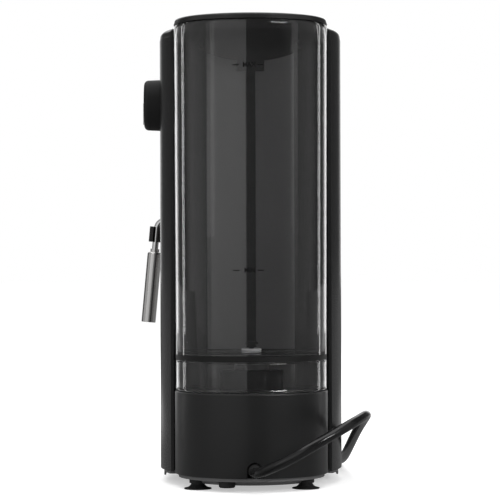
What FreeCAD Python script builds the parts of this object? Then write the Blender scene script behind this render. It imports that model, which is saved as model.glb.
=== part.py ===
import FreeCAD, Part
import math
import os
import re

import Sketcher
from FreeCAD import Placement, Rotation, Vector

# Slim pump espresso machine, seen in its own frame: X across, +Y to the rear, +Z up.
# Everything is drawn about the mirror plane of the housing, with the tank's widest line
# at Y = 0, and each piece is then moved so that the frame starts under the box centre.

doc = FreeCAD.newDocument("espresso_machine")
sizes = doc.addObject("Spreadsheet::Sheet", "Sizes")

SIZES = [
    # housing plan: an oval of tangent arcs
    ("BodyHalf", 68.8, "half width of the housing at its widest line"),
    ("WidestAhead", 47.5, "widest line ahead of the tank's widest line"),
    ("FlankRadius", 100, "plan radius of the flanks behind the widest line"),
    ("SideRadius", 600, "plan radius of the sides ahead of the widest line"),
    ("NoseStart", 150, "where the sides run into the round nose, ahead"),
    ("FlankEnd", 6, "rear end of the flanks, ahead of the tank's widest line"),
    ("BodyWall", 2.6, "wall of the housing"),
    ("ColumnFront", 108, "front of the column, ahead"),
    ("BayDepth", 16, "rear wall of the column, ahead"),
    # heights above the table
    ("BaseHeight", 10, "underside of the housing"),
    ("SeamHeight", 333.4, "seam between housing and top cover"),
    ("BodyTop", "SeamHeight + 6", "top of the top cover"),
    ("HeadUnder", 208.4, "underside of the brewing head"),
    ("CupCorner", 5, "corner radius of the cup space"),
    # top cover, cup plate and push buttons
    ("CoverInset", 0.4, "step of the top cover inside the housing"),
    ("CoverRound", 4.2, "rounding of the cover's top edge"),
    ("CoverSkin", 2.2, "thickness of the cover's deck"),
    ("CupPlateHalf", "BodyHalf - 21.8", "half width of the cup plate"),
    ("CupPlateBack", 30, "rear edge of the cup plate, ahead"),
    ("CupPlateFront", "NoseStart - 4", "front edge of the cup plate, ahead"),
    ("CupPlateThick", 1.2, "sheet of the cup plate"),
    ("SlotLong", 64, "length of a cup plate slot"),
    ("SlotWide", 3.2, "width of a cup plate slot"),
    ("SlotPitch", 11, "pitch of the cup plate slots"),
    ("SlotCount", 9, "number of cup plate slots"),
    ("ButtonRadius", 8.5, "radius of a push button"),
    ("ButtonPitch", 25, "pitch of the push buttons"),
    ("ButtonAhead", "NoseStart + 18", "row of push buttons, ahead"),
    ("ButtonStand", 1.8, "push buttons above the cover"),
    ("ButtonTravel", 1.4, "travel of a push button"),
    ("ButtonPlay", 0.35, "gap round a push button"),
    ("BoardDrop", 9, "button board below the cover's seam"),
    ("BoardThick", 1.6, "circuit boards"),
    ("BoardDeep", 16, "depth of the button board"),
    ("LampRadius", 2.2, "radius of the pilot lamp"),
    ("LampAhead", "NoseStart + 35", "pilot lamp, ahead"),
    # nose fascia and splash plate
    ("FasciaAngle", 58, "half angle of the nose fascia"),
    ("FasciaThick", 1.4, "thickness of the nose fascia"),
    ("FasciaLow", "HeadUnder + 16", "lower edge of the nose fascia"),
    ("FasciaHigh", "SeamHeight - 13", "upper edge of the nose fascia"),
    ("SplashHalf", "BodyHalf - 22.8", "half width of the splash plate"),
    ("SplashThick", 0.8, "sheet of the splash plate"),
    # rear base under the tank
    ("RearHalf", "TankHalf - 0.3", "half width of the rear base"),
    ("RearTop", 70.8, "top of the rear base"),
    ("RearWall", 2.6, "wall of the rear base"),
    ("CornerInset", 7.5, "centre of the rear corner arcs, off the mirror plane"),
    ("BackDrop", 10, "centre of the back arc, ahead"),
    ("NotchAcross", 2, "cord notch, off the mirror plane"),
    ("NotchHalf", 5.4, "half width of the cord notch"),
    ("NotchTop", "BaseHeight + 11.4", "top of the cord notch"),
    ("SocketRadius", 23, "radius of the tank socket"),
    ("SocketTop", "RearTop + 16.8", "top of the tank socket"),
    ("ValveBack", 14, "tank valve behind the tank's widest line"),
    # tank
    ("TankHalf", "BodyHalf - 12", "half width of the tank at its rim"),
    ("TankDraft", 0.19, "draft of the tank's walls in degrees"),
    ("TankWall", 2.6, "wall of the tank"),
    ("TankFront", 11.8, "front wall of the tank, ahead"),
    ("TankTop", "SeamHeight + 6.4", "rim of the tank"),
    ("TankFloor", "RearTop + 26.6", "upper face of the tank's floor"),
    ("FloorThick", 4, "thickness of the tank's floor"),
    ("TankPlay", 0.6, "gap between tank and flank"),
    ("SeatGap", 0.3, "gap between a loose piece and its seat"),
    ("ValveBore", 6, "radius of the hole for the valve"),
    ("ValveRing", 7.4, "radius of the ring round the valve"),
    ("CollarRadius", 12.4, "radius of the valve's lower collar"),
    ("CollarDeep", 3, "collar sunk in the socket"),
    ("SpigotRadius", 8, "radius of the valve's spigot"),
    ("SpigotFoot", "RearTop + 5.6", "lower end of the valve's spigot"),
    ("PlungerRadius", 3.6, "radius of the plunger's foot"),
    ("PlungerStem", 1.8, "radius of the plunger's stem"),
    ("PlungerFoot", "RearTop + 9.6", "lower end of the plunger"),
    ("PlungerLift", 3.5, "opening of the plunger"),
    ("PinRadius", 1.6, "radius of the socket's pin"),
    ("SpringWire", 0.45, "radius of the spring's wire"),
    ("SpringTurns", 9, "turns of the valve's spring"),
    ("LidThick", 4.2, "lid plate"),
    ("LidSkirt", 7.5, "depth of the lid's plug skirt"),
    ("LidSkirtWall", 1.6, "wall of the lid's plug skirt"),
    ("LidPlay", 0.5, "gap between plug skirt and tank wall"),
    # back panel seen through the tank
    ("PanelHalf", 32.6, "half width of the back panel"),
    ("PanelThick", 1.8, "thickness of the back panel"),
    ("PanelTop", "SeamHeight - 12.4", "back panel's height at its edges"),
    ("PanelDip", 6, "dip of the back panel's top edge"),
    ("PanelFoot", "RearTop + 1", "back panel's lower edge"),
    ("PanelScrewAcross", 36.4, "panel screws, off the mirror plane"),
    ("PanelScrewHeight", "SeamHeight - 6.8", "panel screws, above the table"),
    ("PanelScrewRadius", 1.9, "radius of a panel screw's head"),
    ("RailHalf", 3.7, "half width of the tank rail"),
    ("RailThick", 1.4, "thickness of the tank rail"),
    ("RailHookHalf", 10.4, "half width of the rail's hook"),
    ("RailHookTop", "SeamHeight - 17.6", "top of the rail's hook"),
    ("RailHookTall", 8.2, "height of the rail's hook"),
    ("RailFoot", "RearTop + 27.6", "lower end of the tank rail"),
    # underside
    ("PlateInset", 2.6, "base plate inside the housing's outline"),
    ("PlateThick", 2.6, "base plate"),
    ("LipWall", 1.4, "wall of the base plate's lip"),
    ("LipFoot", "BaseHeight - 6", "lower end of the base plate's lip"),
    ("LipBack", 6, "lip behind the housing's widest line"),
    ("LipAhead", 34, "lip ahead of the housing's widest line"),
    ("PanHalf", "RearHalf - 9.8", "half width of the bottom pan"),
    ("PanBottom", "BaseHeight - 5.9", "underside of the bottom pan"),
    ("PanFront", "NoseStart + 26", "front end of the bottom pan, ahead"),
    ("PanSlope", 2, "chamfer of the bottom pan's edge"),
    ("VentLong", 56, "length of a vent in the bottom pan"),
    ("VentWide", 3, "width of a vent in the bottom pan"),
    ("VentPitch", 8, "pitch of the bottom pan's vents"),
    ("VentCount", 9, "number of vents in the bottom pan"),
    ("VentAhead", 48, "first vent, ahead"),
    ("FootRadius", 10, "radius of a foot at the table"),
    ("FootNeck", 6.2, "radius of a foot's neck"),
    ("FootWaist", 5, "radius of a foot above its flare"),
    ("FootFlare", 3.4, "height of a foot's flare"),
    ("FootAcross", "PanHalf - 7.3", "feet off the mirror plane"),
    ("RearFeetBack", 20, "rear feet behind the tank's widest line"),
    ("FrontFeetAhead", "NoseStart + 8", "front feet, ahead"),
    ("PegAcross", 18, "rear peg off the mirror plane"),
    ("PegBack", 38, "rear peg behind the tank's widest line"),
    ("PegRadius", 6, "radius of the rear peg"),
    ("PegBottom", "BaseHeight - 7.4", "underside of the rear peg"),
    # drip tray
    ("TrayTop", "BaseHeight + 42.4", "rim of the drip tray"),
    ("TrayWall", 2.2, "wall of the drip tray"),
    ("TrayGap", 0.7, "gap between drip tray and column"),
    ("GridThick", 1.2, "sheet of the drip grid"),
    ("GridSlotWide", 3.4, "width of a drip grid slot"),
    ("GridSlotPitch", 8.4, "pitch of the drip grid slots"),
    ("FloatRadius", 5, "radius of the drip float"),
    ("FloatAhead", "NoseStart + 38", "drip float, ahead"),
    ("FloatTravel", 7, "rise of the drip float"),
    # steam knob and valve
    ("KnobAhead", 80, "steam knob, ahead"),
    ("KnobHeight", "SeamHeight - 46.2", "steam knob above the table"),
    ("KnobRadius", 19.8, "radius of the steam knob"),
    ("KnobReach", "BodyHalf + 13.2", "face of the steam knob, off the mirror plane"),
    ("KnobRound", 3.2, "rounding of the knob's face edge"),
    ("PointerWide", 2.6, "width of the knob's pointer"),
    ("PointerLong", 16.4, "length of the knob's pointer"),
    ("StemRadius", 3, "radius of the valve stem"),
    ("StemPlay", 0.05, "running gap round the valve stem"),
    ("ValveLong", 22, "length of the steam valve's body"),
    # steam wand
    ("WandAhead", "NoseStart", "steam wand, ahead"),
    ("WandHeight", "HeadUnder - 8.2", "pivot of the wand above the table"),
    ("WandTilt", 5.3, "outward tilt of the wand in degrees"),
    ("WandBend", 9, "radius of the wand's elbow"),
    ("WandElbow", "BodyHalf - 2.4", "start of the elbow, off the mirror plane"),
    ("WandRadius", 2.5, "radius of the wand's tube"),
    ("WandStart", "BodyHalf - 18.8", "inner end of the wand's tube"),
    ("WandDrop", 66, "straight length of the tube below the elbow"),
    ("SleeveRadius", 5.7, "radius of the frothing sleeve"),
    ("SleeveLong", 57, "length of the frothing sleeve"),
    ("SleeveWall", 1.1, "wall of the frothing sleeve"),
    ("SleeveBelow", 18.4, "top of the sleeve below the elbow's end"),
    ("RingThick", 1.1, "ring on the frothing sleeve's shoulder"),
    ("RingTall", 2.4, "height of the ring on the shoulder"),
    ("GripAbove", 2, "top of the grip above the elbow's end"),
    ("GripGape", 2.4, "half width of the grip's open side"),
    ("GripTall", 12.4, "height of the wand's grip"),
    ("GripRadius", 5.7, "outer radius of the wand's grip"),
    # brewing group
    ("GroupAhead", "NoseStart + 2", "brewing group, ahead"),
    ("GroupRadius", 34, "outer radius of the group's ring"),
    ("GroupBottom", "HeadUnder - 24", "lower face of the group's ring"),
    ("CollarRise", 8, "group's collar above the group's lower face"),
    ("CollarThin", 1.6, "group's collar at its lower edge"),
    ("CollarThick", 3.4, "group's collar under the head"),
    ("GroupBore", 30, "bore of the group's ring above the flange"),
    ("FlangeThick", 4, "thickness of the bayonet flange"),
    ("FlangeBore", 27.2, "bore of the bayonet flange"),
    ("EarRoom", 5, "height of the ears' groove above the flange"),
    ("EarHalfAngle", 24, "half angle of a portafilter ear"),
    ("EarGapHalfAngle", 27, "half angle of a gap in the flange"),
    ("LockTurn", 50, "turn from unlocked to locked in degrees"),
    ("BowlRadius", 26.6, "outer radius of the portafilter"),
    ("BowlWall", 2.2, "wall of the portafilter"),
    ("BowlDeep", 30, "depth of the portafilter"),
    ("BasketWall", 0.8, "wall of the filter basket"),
    ("BasketDeep", 22, "depth of the filter basket"),
    ("HandleReach", 100, "length of the handle beyond the bowl"),
    ("HandleRadius", 12.5, "radius of the handle at its end"),
    # works inside
    ("BoilerRadius", 30, "radius of the boiler"),
    ("BoilerTall", 62, "height of the boiler"),
    ("BoardLong", 84, "width of the control board"),
    ("BoardTall", 62, "height of the control board"),
    ("BoardFoot", "HeadUnder - 48.4", "control board's lower edge"),
    ("PostLong", 5, "length of the control board's posts"),
    ("PostRadius", 3, "radius of the control board's posts"),
    ("RelayWide", 28, "width of the relay"),
    ("RelayDeep", 12, "depth of the relay"),
    ("RelayTall", 22, "height of the relay"),
    ("PumpHeight", "BaseHeight + 58.4", "pump's axis above the table"),
    ("PumpAhead", 64, "pump's axis, ahead"),
    ("PumpRadius", 15, "radius of the pump"),
    ("PumpHalf", 33, "half length of the pump"),
    ("InletTall", 10, "height of the boiler's inlet"),
    ("HoseRadius", 3, "radius of the hoses"),
    ("HoseRise", 17.4, "rise of the pressure hose over the boiler's inlet"),
    ("HoseOut", 12, "reach of the pressure hose beyond the pump"),
    ("PipeRadius", 1.6, "radius of the steam pipe"),
    ("HoseHeight", "BaseHeight + 38.4", "hose through the column's wall, above the table"),
    # cord
    ("CordRadius", 3.6, "radius of the power cord"),
    ("CordHeight", "BaseHeight + 5.6", "cord's exit above the table"),
    ("BootStart", 38, "inner end of the strain relief"),
    ("BootEnd", 62, "outer end of the strain relief"),
    ("CoilRadius", 39.75, "middle radius of the cord's coil"),
    ("CoilAcross", -28, "middle of the coil, off the mirror plane"),
    ("CoilAhead", 372, "middle of the coil, ahead"),
    ("PlugRadius", 16.8, "radius of the plug"),
    ("PlugLong", 46, "length of the plug's body"),
]
for row, (alias, number, meaning) in enumerate(SIZES, start=1):
    sizes.set(f"A{row}", alias)
    sizes.set(f"B{row}", f"={number}")
    sizes.set(f"C{row}", meaning)
    sizes.setAlias(f"B{row}", alias)
doc.recompute()


def linked(text):
    """The expression with each size name tied to its cell."""
    return re.sub(r"[A-Z][A-Za-z]+", lambda name: "Sizes." + name.group(), text)


def value(text):
    """The expression's number, for code that needs one."""
    return float(sizes.evalExpression(linked(text)))


def bind(thing, prop, text):
    thing.setExpression(prop, linked(text))


# The frame's start: under the middle of the box that the machine fills, cord apart.
NOSE_SIN = "((NoseStart - WidestAhead) / SideRadius)"
NOSE_COS = f"sqrt(1 - {NOSE_SIN}^2)"
NOSE_RADIUS = f"(SideRadius - (SideRadius - BodyHalf) / {NOSE_COS})"
NOSE_CENTRE = f"(WidestAhead + (SideRadius - BodyHalf) * {NOSE_SIN} / {NOSE_COS})"
BACK_SLANT = "sqrt(CornerInset^2 + BackDrop^2)"
WAND_REACH = (
    "(WandElbow + WandBend * cos(WandTilt) + (SleeveBelow + SleeveLong) * sin(WandTilt)"
    " + SleeveRadius * cos(WandTilt))"
)
HANDLE_REACH = "(GroupAhead + BowlRadius + HandleReach)"
TANK_REACH = f"(TankHalf - CornerInset + {BACK_SLANT} - BackDrop)"
ACROSS = f"(({WAND_REACH} - BodyHalf) / 2)"
ALONG = f"(({TANK_REACH} - {HANDLE_REACH}) / 2)"

nodes = []
spots = {}


def place(thing, name):
    """Names a finished sub-part and moves it from the drawing frame to the part's."""
    across, along = spots.get(thing.Name, ("0", "0"))
    thing.Label = name
    bind(thing, "Placement.Base.x", f"{across} - {ACROSS}")
    bind(thing, "Placement.Base.y", f"{along} - {ALONG}")
    nodes.append(thing)
    return thing


def new_body(name):
    return place(doc.addObject("PartDesign::Body", name), name)


def new_sketch(body, name, plane="XY", at="0"):
    """An empty sketch on an origin plane; XZ looks to the front, YZ along +X."""
    drawing = body.newObject("Sketcher::SketchObject", name)
    support = [o for o in body.Origin.OriginFeatures if o.Role == plane + "_Plane"][0]
    drawing.AttachmentSupport = [(support, "")]
    drawing.MapMode = "FlatFace"
    bind(drawing, "AttachmentOffset.Base.z", at)
    return drawing


def fix_point(drawing, geo, end, across, up):
    for kind, text in (("DistanceX", across), ("DistanceY", up)):
        index = drawing.addConstraint(
            Sketcher.Constraint(kind, -1, 1, geo, end, value(text))
        )
        bind(drawing, f"Constraints[{index}]", text)


def outline(drawing, points):
    """A closed outline. A point (across, up) is reached by a line, and a point
    (across, up, radius) by an arc: it turns left, or right if turn is "right"."""
    corners = [Vector(value(p[0]), value(p[1]), 0) for p in points]
    first = drawing.GeometryCount
    starts, ends = [], []
    for index, point in enumerate(points[1:] + points[:1]):
        start, end = corners[index], corners[(index + 1) % len(points)]
        if len(point) == 2:
            drawing.addGeometry(Part.LineSegment(start, end), False)
            starts.append(1)
            ends.append(2)
            continue
        right = len(point) == 4
        radius = value(point[2])
        chord = end - start
        rise = math.sqrt(max(radius**2 - (chord.Length / 2) ** 2, 0))
        left = Vector(-chord.y, chord.x, 0).normalize()
        centre = (start + end) * 0.5 + left * (-rise if right else rise)
        low, high = (end, start) if right else (start, end)
        turns = [math.atan2(v.y - centre.y, v.x - centre.x) for v in (low, high)]
        circle = Part.Circle(centre, Vector(0, 0, 1), radius)
        drawing.addGeometry(Part.ArcOfCircle(circle, turns[0], turns[1]), False)
        starts.append(2 if right else 1)
        ends.append(1 if right else 2)
    count = len(points)
    for index in range(count):
        following = (index + 1) % count
        drawing.addConstraint(
            Sketcher.Constraint(
                "Coincident",
                first + index,
                ends[index],
                first + following,
                starts[following],
            )
        )
    for index, point in enumerate(points):
        fix_point(drawing, first + index, starts[index], point[0], point[1])
    for index, point in enumerate(points[1:] + points[:1]):
        if len(point) > 2:
            number = drawing.addConstraint(
                Sketcher.Constraint("Radius", first + index, value(point[2]))
            )
            bind(drawing, f"Constraints[{number}]", point[2])


def ring(drawing, across, up, radius):
    """A full circle in a sketch."""
    spot = Vector(value(across), value(up), 0)
    geo = drawing.addGeometry(
        Part.Circle(spot, Vector(0, 0, 1), value(radius)), False
    )
    fix_point(drawing, geo, 3, across, up)
    index = drawing.addConstraint(Sketcher.Constraint("Radius", geo, value(radius)))
    bind(drawing, f"Constraints[{index}]", radius)


def feature(body, kind, drawing, **settings):
    made = body.newObject("PartDesign::" + kind, f"{body.Name}_{kind}")
    made.Profile = drawing
    for name, setting in settings.items():
        if isinstance(setting, str) and name in ("Length", "TaperAngle", "Angle"):
            bind(made, name, setting)
        else:
            setattr(made, name, setting)
    return made


def pad(body, drawing, length, **settings):
    return feature(body, "Pad", drawing, Length=length, **settings)


def cut(body, drawing, length, upward=False, **settings):
    """A pocket against the sketch's normal, or along it if upward."""
    return feature(
        body, "Pocket", drawing, Length=length, Reversed=upward, **settings
    )


def turned(body, drawing, axis="V_Axis", kind="Revolution", **settings):
    made = feature(body, kind, drawing, ReferenceAxis=(drawing, [axis]), **settings)
    return made


def soften(body, radius, chosen, kind="Fillet"):
    """Rounds or chamfers the edges of the tip that the test chooses."""
    doc.recompute()
    tip = body.Tip
    names = [
        f"Edge{i}" for i, edge in enumerate(tip.Shape.Edges, start=1) if chosen(edge)
    ]
    made = body.newObject("PartDesign::" + kind, f"{body.Name}_{kind}")
    made.Base = (tip, names)
    bind(made, "Radius" if kind == "Fillet" else "Size", radius)
    return made


def level(edge, height):
    """True for an edge that lies flat at the height."""
    box = edge.BoundBox
    return abs(box.ZMin - height) < 0.01 and abs(box.ZMax - height) < 0.01


def repeat(body, original, kind, axis, **settings):
    made = body.newObject("PartDesign::" + kind, f"{body.Name}_{kind}")
    made.Originals = [original]
    if kind == "LinearPattern":
        made.Direction = axis
    else:
        made.Axis = axis
    for name, setting in settings.items():
        bind(made, name, setting)
    body.Tip = made
    return made


def solid(kind, name, **settings):
    """A Part primitive whose sizes and place are expressions."""
    made = doc.addObject("Part::" + kind, name)
    for prop, text in settings.items():
        if prop == "spot":
            spots[made.Name] = text[:2]
            for axis, part in zip("xyz", text):
                bind(made, "Placement.Base." + axis, part)
        elif prop == "turn":
            made.Placement.Rotation = text
        else:
            bind(made, prop, text)
    return made


def fused(name, first, *others):
    for other in others:
        joined = doc.addObject("Part::Fuse", name)
        joined.Base = first
        joined.Tool = other
        first = joined
    return first


def less(name, first, *others):
    for other in others:
        joined = doc.addObject("Part::Cut", name)
        joined.Base = first
        joined.Tool = other
        first = joined
    return first


ALONG_X = Rotation(Vector(0, 1, 0), 90)
ALONG_Y = Rotation(Vector(1, 0, 0), -90)
FULL_TURN = 360.0


# ---------------------------------------------------------------- outlines in plan


def side_half(inset, ahead):
    """Half width of the oval ahead of its widest line."""
    return (
        f"(BodyHalf - SideRadius + sqrt((SideRadius - {inset})^2"
        f" - ({ahead} - WidestAhead)^2))"
    )


def flank_half(inset, ahead):
    """Half width of the oval behind its widest line."""
    return (
        f"(BodyHalf - FlankRadius + sqrt((FlankRadius - {inset})^2"
        f" - (WidestAhead - {ahead})^2))"
    )


def nose(inset):
    """The oval's front, from its left to its right widest point."""
    reach = f"({NOSE_CENTRE} + {NOSE_RADIUS} - {inset})"
    across = f"(BodyHalf - SideRadius + (SideRadius - {inset}) * {NOSE_COS})"
    back = f"(-WidestAhead - (SideRadius - {inset}) * {NOSE_SIN})"
    round_front = f"{NOSE_RADIUS} - {inset}"
    side = f"SideRadius - {inset}"
    return (
        [(f"-{across}", back, side), ("0", f"-{reach}", round_front)],
        [(across, back, round_front)],
    )


def oval(inset, back):
    """The whole oval, cut straight across at the rear."""
    front, return_side = nose(inset)
    half = flank_half(inset, back)
    flank = f"FlankRadius - {inset}"
    return (
        [(f"-{half}", f"-{back}"), (f"-(BodyHalf - {inset})", "-WidestAhead", flank)]
        + front
        + return_side
        + [
            (f"BodyHalf - {inset}", "-WidestAhead", f"SideRadius - {inset}"),
            (half, f"-{back}", flank),
        ]
    )


def oval_front(inset, back):
    """The oval's front part, cut straight across behind."""
    front, return_side = nose(inset)
    half = side_half(inset, back)
    return (
        [(f"-{half}", f"-{back}")]
        + front
        + return_side
        + [(half, f"-{back}", f"SideRadius - {inset}")]
    )


def round_back(half, ahead):
    """The half-round plan of tank and rear base, with a flatter middle."""
    back_radius = f"({half} - CornerInset + {BACK_SLANT})"
    across = f"({back_radius} * CornerInset / {BACK_SLANT})"
    back = f"({back_radius} * BackDrop / {BACK_SLANT} - BackDrop)"
    corner = f"{half} - CornerInset"
    return [
        (f"-({half})", f"-({ahead})"),
        (half, f"-({ahead})"),
        (half, "0"),
        (across, back, corner),
        (f"-{across}", back, back_radius),
        (f"-({half})", "0", corner),
    ]


def rectangle(left, near, right, far):
    return [(left, near), (right, near), (right, far), (left, far)]


def slot_outline(left, right, middle, half):
    """A slot with round ends, along the sketch's first axis."""
    return [
        (left, f"{middle} - {half}", half),
        (right, f"{middle} - {half}"),
        (f"{right} + {half}", middle, half),
        (right, f"{middle} + {half}", half),
        (left, f"{middle} + {half}"),
        (f"{left} - {half}", middle, half),
    ]


# ---------------------------------------------------------------- housing and covers

BAY_HALF = "(TankHalf + TankPlay)"


def housing():
    """The moulded shell: column, brewing head and the two flanks that hold the tank."""
    body = new_body("housing")
    plan = new_sketch(body, "housing_plan", at="BaseHeight")
    outline(plan, oval("0", "FlankEnd"))
    pad(body, plan, "SeamHeight - BaseHeight")

    cup = new_sketch(body, "housing_cup_space", "YZ")
    front = f"-({NOSE_CENTRE} + {NOSE_RADIUS} + 1)"
    outline(
        cup,
        [
            (front, "BaseHeight - 1"),
            ("-ColumnFront", "BaseHeight - 1"),
            ("-ColumnFront", "HeadUnder - CupCorner"),
            ("-ColumnFront - CupCorner", "HeadUnder", "CupCorner"),
            (front, "HeadUnder"),
        ],
    )
    cut(body, cup, "BodyHalf * 3", Midplane=True)

    bay = new_sketch(body, "housing_bay", at="SeamHeight")
    outline(bay, rectangle(f"-{BAY_HALF}", "-BayDepth", BAY_HALF, "0"))
    cut(body, bay, "SeamHeight")

    rear = "(BayDepth + BodyWall)"
    ahead = "(ColumnFront - BodyWall)"
    inner_rear = flank_half("BodyWall", rear)
    inner_front = side_half("BodyWall", ahead)
    widest = "(BodyHalf - BodyWall)"
    column = new_sketch(body, "housing_column", at="SeamHeight")
    outline(
        column,
        [
            (f"-{inner_rear}", f"-{rear}"),
            (f"-{widest}", "-WidestAhead", "FlankRadius - BodyWall"),
            (f"-{inner_front}", f"-{ahead}", "SideRadius - BodyWall"),
            (inner_front, f"-{ahead}"),
            (widest, "-WidestAhead", "SideRadius - BodyWall"),
            (inner_rear, f"-{rear}", "FlankRadius - BodyWall"),
        ],
    )
    cut(body, column, "SeamHeight")

    head = new_sketch(body, "housing_head", at="SeamHeight")
    outline(head, oval_front("BodyWall", "(ColumnFront - 2 * BodyWall)"))
    cut(body, head, "SeamHeight - HeadUnder - BodyWall")

    neck = new_sketch(body, "housing_group_hole", at="HeadUnder + BodyWall + 1")
    ring(neck, "0", "-GroupAhead", "GroupRadius - 6")
    cut(body, neck, "BodyWall + 2")

    hose = new_sketch(body, "housing_hose_hole", "XZ", at="BayDepth - 1")
    ring(hose, "0", "HoseHeight", "HoseRadius + 0.6")
    cut(body, hose, "BodyWall + 2", upward=True)

    stem = new_sketch(body, "housing_stem_hole", "YZ", at="BodyHalf + 1")
    ring(stem, "-KnobAhead", "KnobHeight", "StemRadius + 1.5")
    cut(body, stem, "3 * BodyWall + 2")

    fascia = new_sketch(body, "housing_fascia_bed", at="FasciaLow - SeatGap")
    outline(fascia, fascia_plan("SeatGap"))
    cut(body, fascia, "FasciaHigh - FasciaLow + 2 * SeatGap", upward=True)

    rim = value("HeadUnder")
    soften(body, "1.2", lambda e: level(e, rim) and e.BoundBox.XLength > 60)
    return body


def fascia_plan(play):
    """The nose fascia in plan: a band of the nose's own arc, flush with the housing."""
    outer = f"({NOSE_RADIUS} + 0.4)"
    inner = f"({NOSE_RADIUS} - FasciaThick - {play})"
    angle = f"(FasciaAngle + {play})"
    points = []
    for radius, sides in ((outer, ("-", "")), (inner, ("", "-"))):
        for side in sides:
            points.append(
                (
                    f"{side}{radius} * sin({angle})",
                    f"-{NOSE_CENTRE} - {radius} * cos({angle})",
                )
            )
    left, right, inner_right, inner_left = points
    middle = ("0", f"-{NOSE_CENTRE} - {outer}", outer)
    inner_middle = ("0", f"-{NOSE_CENTRE} - {inner}", inner, "right")
    return [
        left,
        middle,
        (*right, outer),
        inner_right,
        inner_middle,
        (*inner_left, inner, "right"),
    ]


def front_fascia():
    """The curved steel band set into the nose."""
    body = new_body("front_fascia")
    plan = new_sketch(body, "fascia_plan", at="FasciaLow")
    outline(plan, fascia_plan("0"))
    pad(body, plan, "FasciaHigh - FasciaLow")
    return body


def top_cover():
    """The cover over column and head, with the cup plate's bed and button holes."""
    body = new_body("top_cover")
    plan = new_sketch(body, "cover_plan", at="SeamHeight")
    outline(plan, oval("CoverInset", "(FlankEnd + CoverInset)"))
    pad(body, plan, "BodyTop - SeamHeight")

    top = value("BodyTop")
    soften(body, "CoverRound", lambda e: level(e, top) and e.BoundBox.YLength > 0.1)

    bay = new_sketch(body, "cover_bay", at="BodyTop + 1")
    outline(bay, rectangle(f"-{BAY_HALF}", "-BayDepth", BAY_HALF, "0"))
    cut(body, bay, "BodyTop - SeamHeight + 2")

    hollow = new_sketch(body, "cover_hollow", at="SeamHeight")
    outline(hollow, oval("BodyWall * 2", "(BayDepth + BodyWall)"))
    cut(body, hollow, "BodyTop - SeamHeight - CoverSkin - CupPlateThick", upward=True)

    bed = new_sketch(body, "cover_bed", at="BodyTop")
    outline(bed, cup_plate_plan("SeatGap"))
    cut(body, bed, "CupPlateThick")

    holes = new_sketch(body, "cover_button_holes", at="BodyTop")
    for step in (-1, 0, 1):
        ring(holes, f"{step} * ButtonPitch", "-ButtonAhead", "ButtonRadius + ButtonPlay")
    ring(holes, "0", "-LampAhead", "LampRadius")
    cut(body, holes, "BodyTop - SeamHeight")

    posts = new_sketch(body, "cover_posts", at="SeamHeight - BoardDrop")
    for side in ("-", ""):
        ring(posts, f"{side}ButtonPitch * 1.6", "-ButtonAhead + 4", "3")
    pad(body, posts, "BoardDrop + BodyTop - SeamHeight - CoverSkin - CupPlateThick")
    return body


def cup_plate_plan(play):
    half = f"(CupPlateHalf + {play})"
    back = f"(-CupPlateBack + {play})"
    front = f"(-CupPlateFront - {play})"
    corner = f"(12 + {play})"
    return [
        (f"-{half} + {corner}", front, corner),
        (f"{half} - {corner}", front),
        (half, f"{front} + {corner}", corner),
        (half, f"{back} - {corner}"),
        (f"{half} - {corner}", back, corner),
        (f"-{half} + {corner}", back),
        (f"-{half}", f"{back} - {corner}", corner),
        (f"-{half}", f"{front} + {corner}"),
    ]


def cup_plate():
    """The brushed sheet that warms cups, with a row of slots."""
    body = new_body("cup_plate")
    plan = new_sketch(body, "cup_plate_plan", at="BodyTop - CupPlateThick")
    outline(plan, cup_plate_plan("0"))
    pad(body, plan, "CupPlateThick")
    span = "(SlotPitch * (SlotCount - 1))"
    first = f"(-(CupPlateBack + CupPlateFront) / 2 - {span} / 2)"
    slot = new_sketch(body, "cup_plate_slot", at="BodyTop")
    outline(slot, slot_outline("-SlotLong / 2", "SlotLong / 2", first, "(SlotWide / 2)"))
    opening = cut(body, slot, "CupPlateThick")
    repeat(
        body,
        opening,
        "LinearPattern",
        (slot, ["V_Axis"]),
        Length=span,
        Occurrences="SlotCount",
    )
    return body


def push_button(name, step):
    """A round cap with a flange under the cover and a stem to the button board."""
    body = new_body(name)
    deck = "(BodyTop - CoverSkin - CupPlateThick)"
    top = "(BodyTop + ButtonStand)"
    foot = "(SeamHeight - BoardDrop + ButtonTravel + SeatGap)"
    profile = new_sketch(body, name + "_profile", "XZ", at="ButtonAhead")
    axis = f"({step} * ButtonPitch)"
    outline(
        profile,
        [
            (axis, foot),
            (f"{axis} + 2.4", foot),
            (f"{axis} + 2.4", f"{deck} - SeatGap - 1.2"),
            (f"{axis} + ButtonRadius + 1.4", f"{deck} - SeatGap - 1.2"),
            (f"{axis} + ButtonRadius + 1.4", f"{deck} - SeatGap"),
            (f"{axis} + ButtonRadius", f"{deck} - SeatGap"),
            (f"{axis} + ButtonRadius", f"{top} - 1"),
            (f"{axis} + ButtonRadius - 1", top, "1"),
            (axis, f"{top} - 0.6", "60", "right"),
        ],
    )
    line = profile.addGeometry(
        Part.LineSegment(
            Vector(value(axis), 0, 0), Vector(value(axis), value("BodyTop * 2"), 0)
        ),
        True,
    )
    fix_point(profile, line, 1, axis, "0")
    fix_point(profile, line, 2, axis, "BodyTop * 2")
    turned(body, profile, "Axis0")
    return body


def button_board():
    """The small board with three switches under the push buttons."""
    top = "(SeamHeight - BoardDrop)"
    board = solid(
        "Box",
        "board_sheet",
        Length="ButtonPitch * 3.6",
        Width="BoardDeep",
        Height="BoardThick",
        spot=("-ButtonPitch * 1.8", "-ButtonAhead - BoardDeep / 2", f"{top} - BoardThick"),
    )
    return place(board, "button_board")


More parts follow.
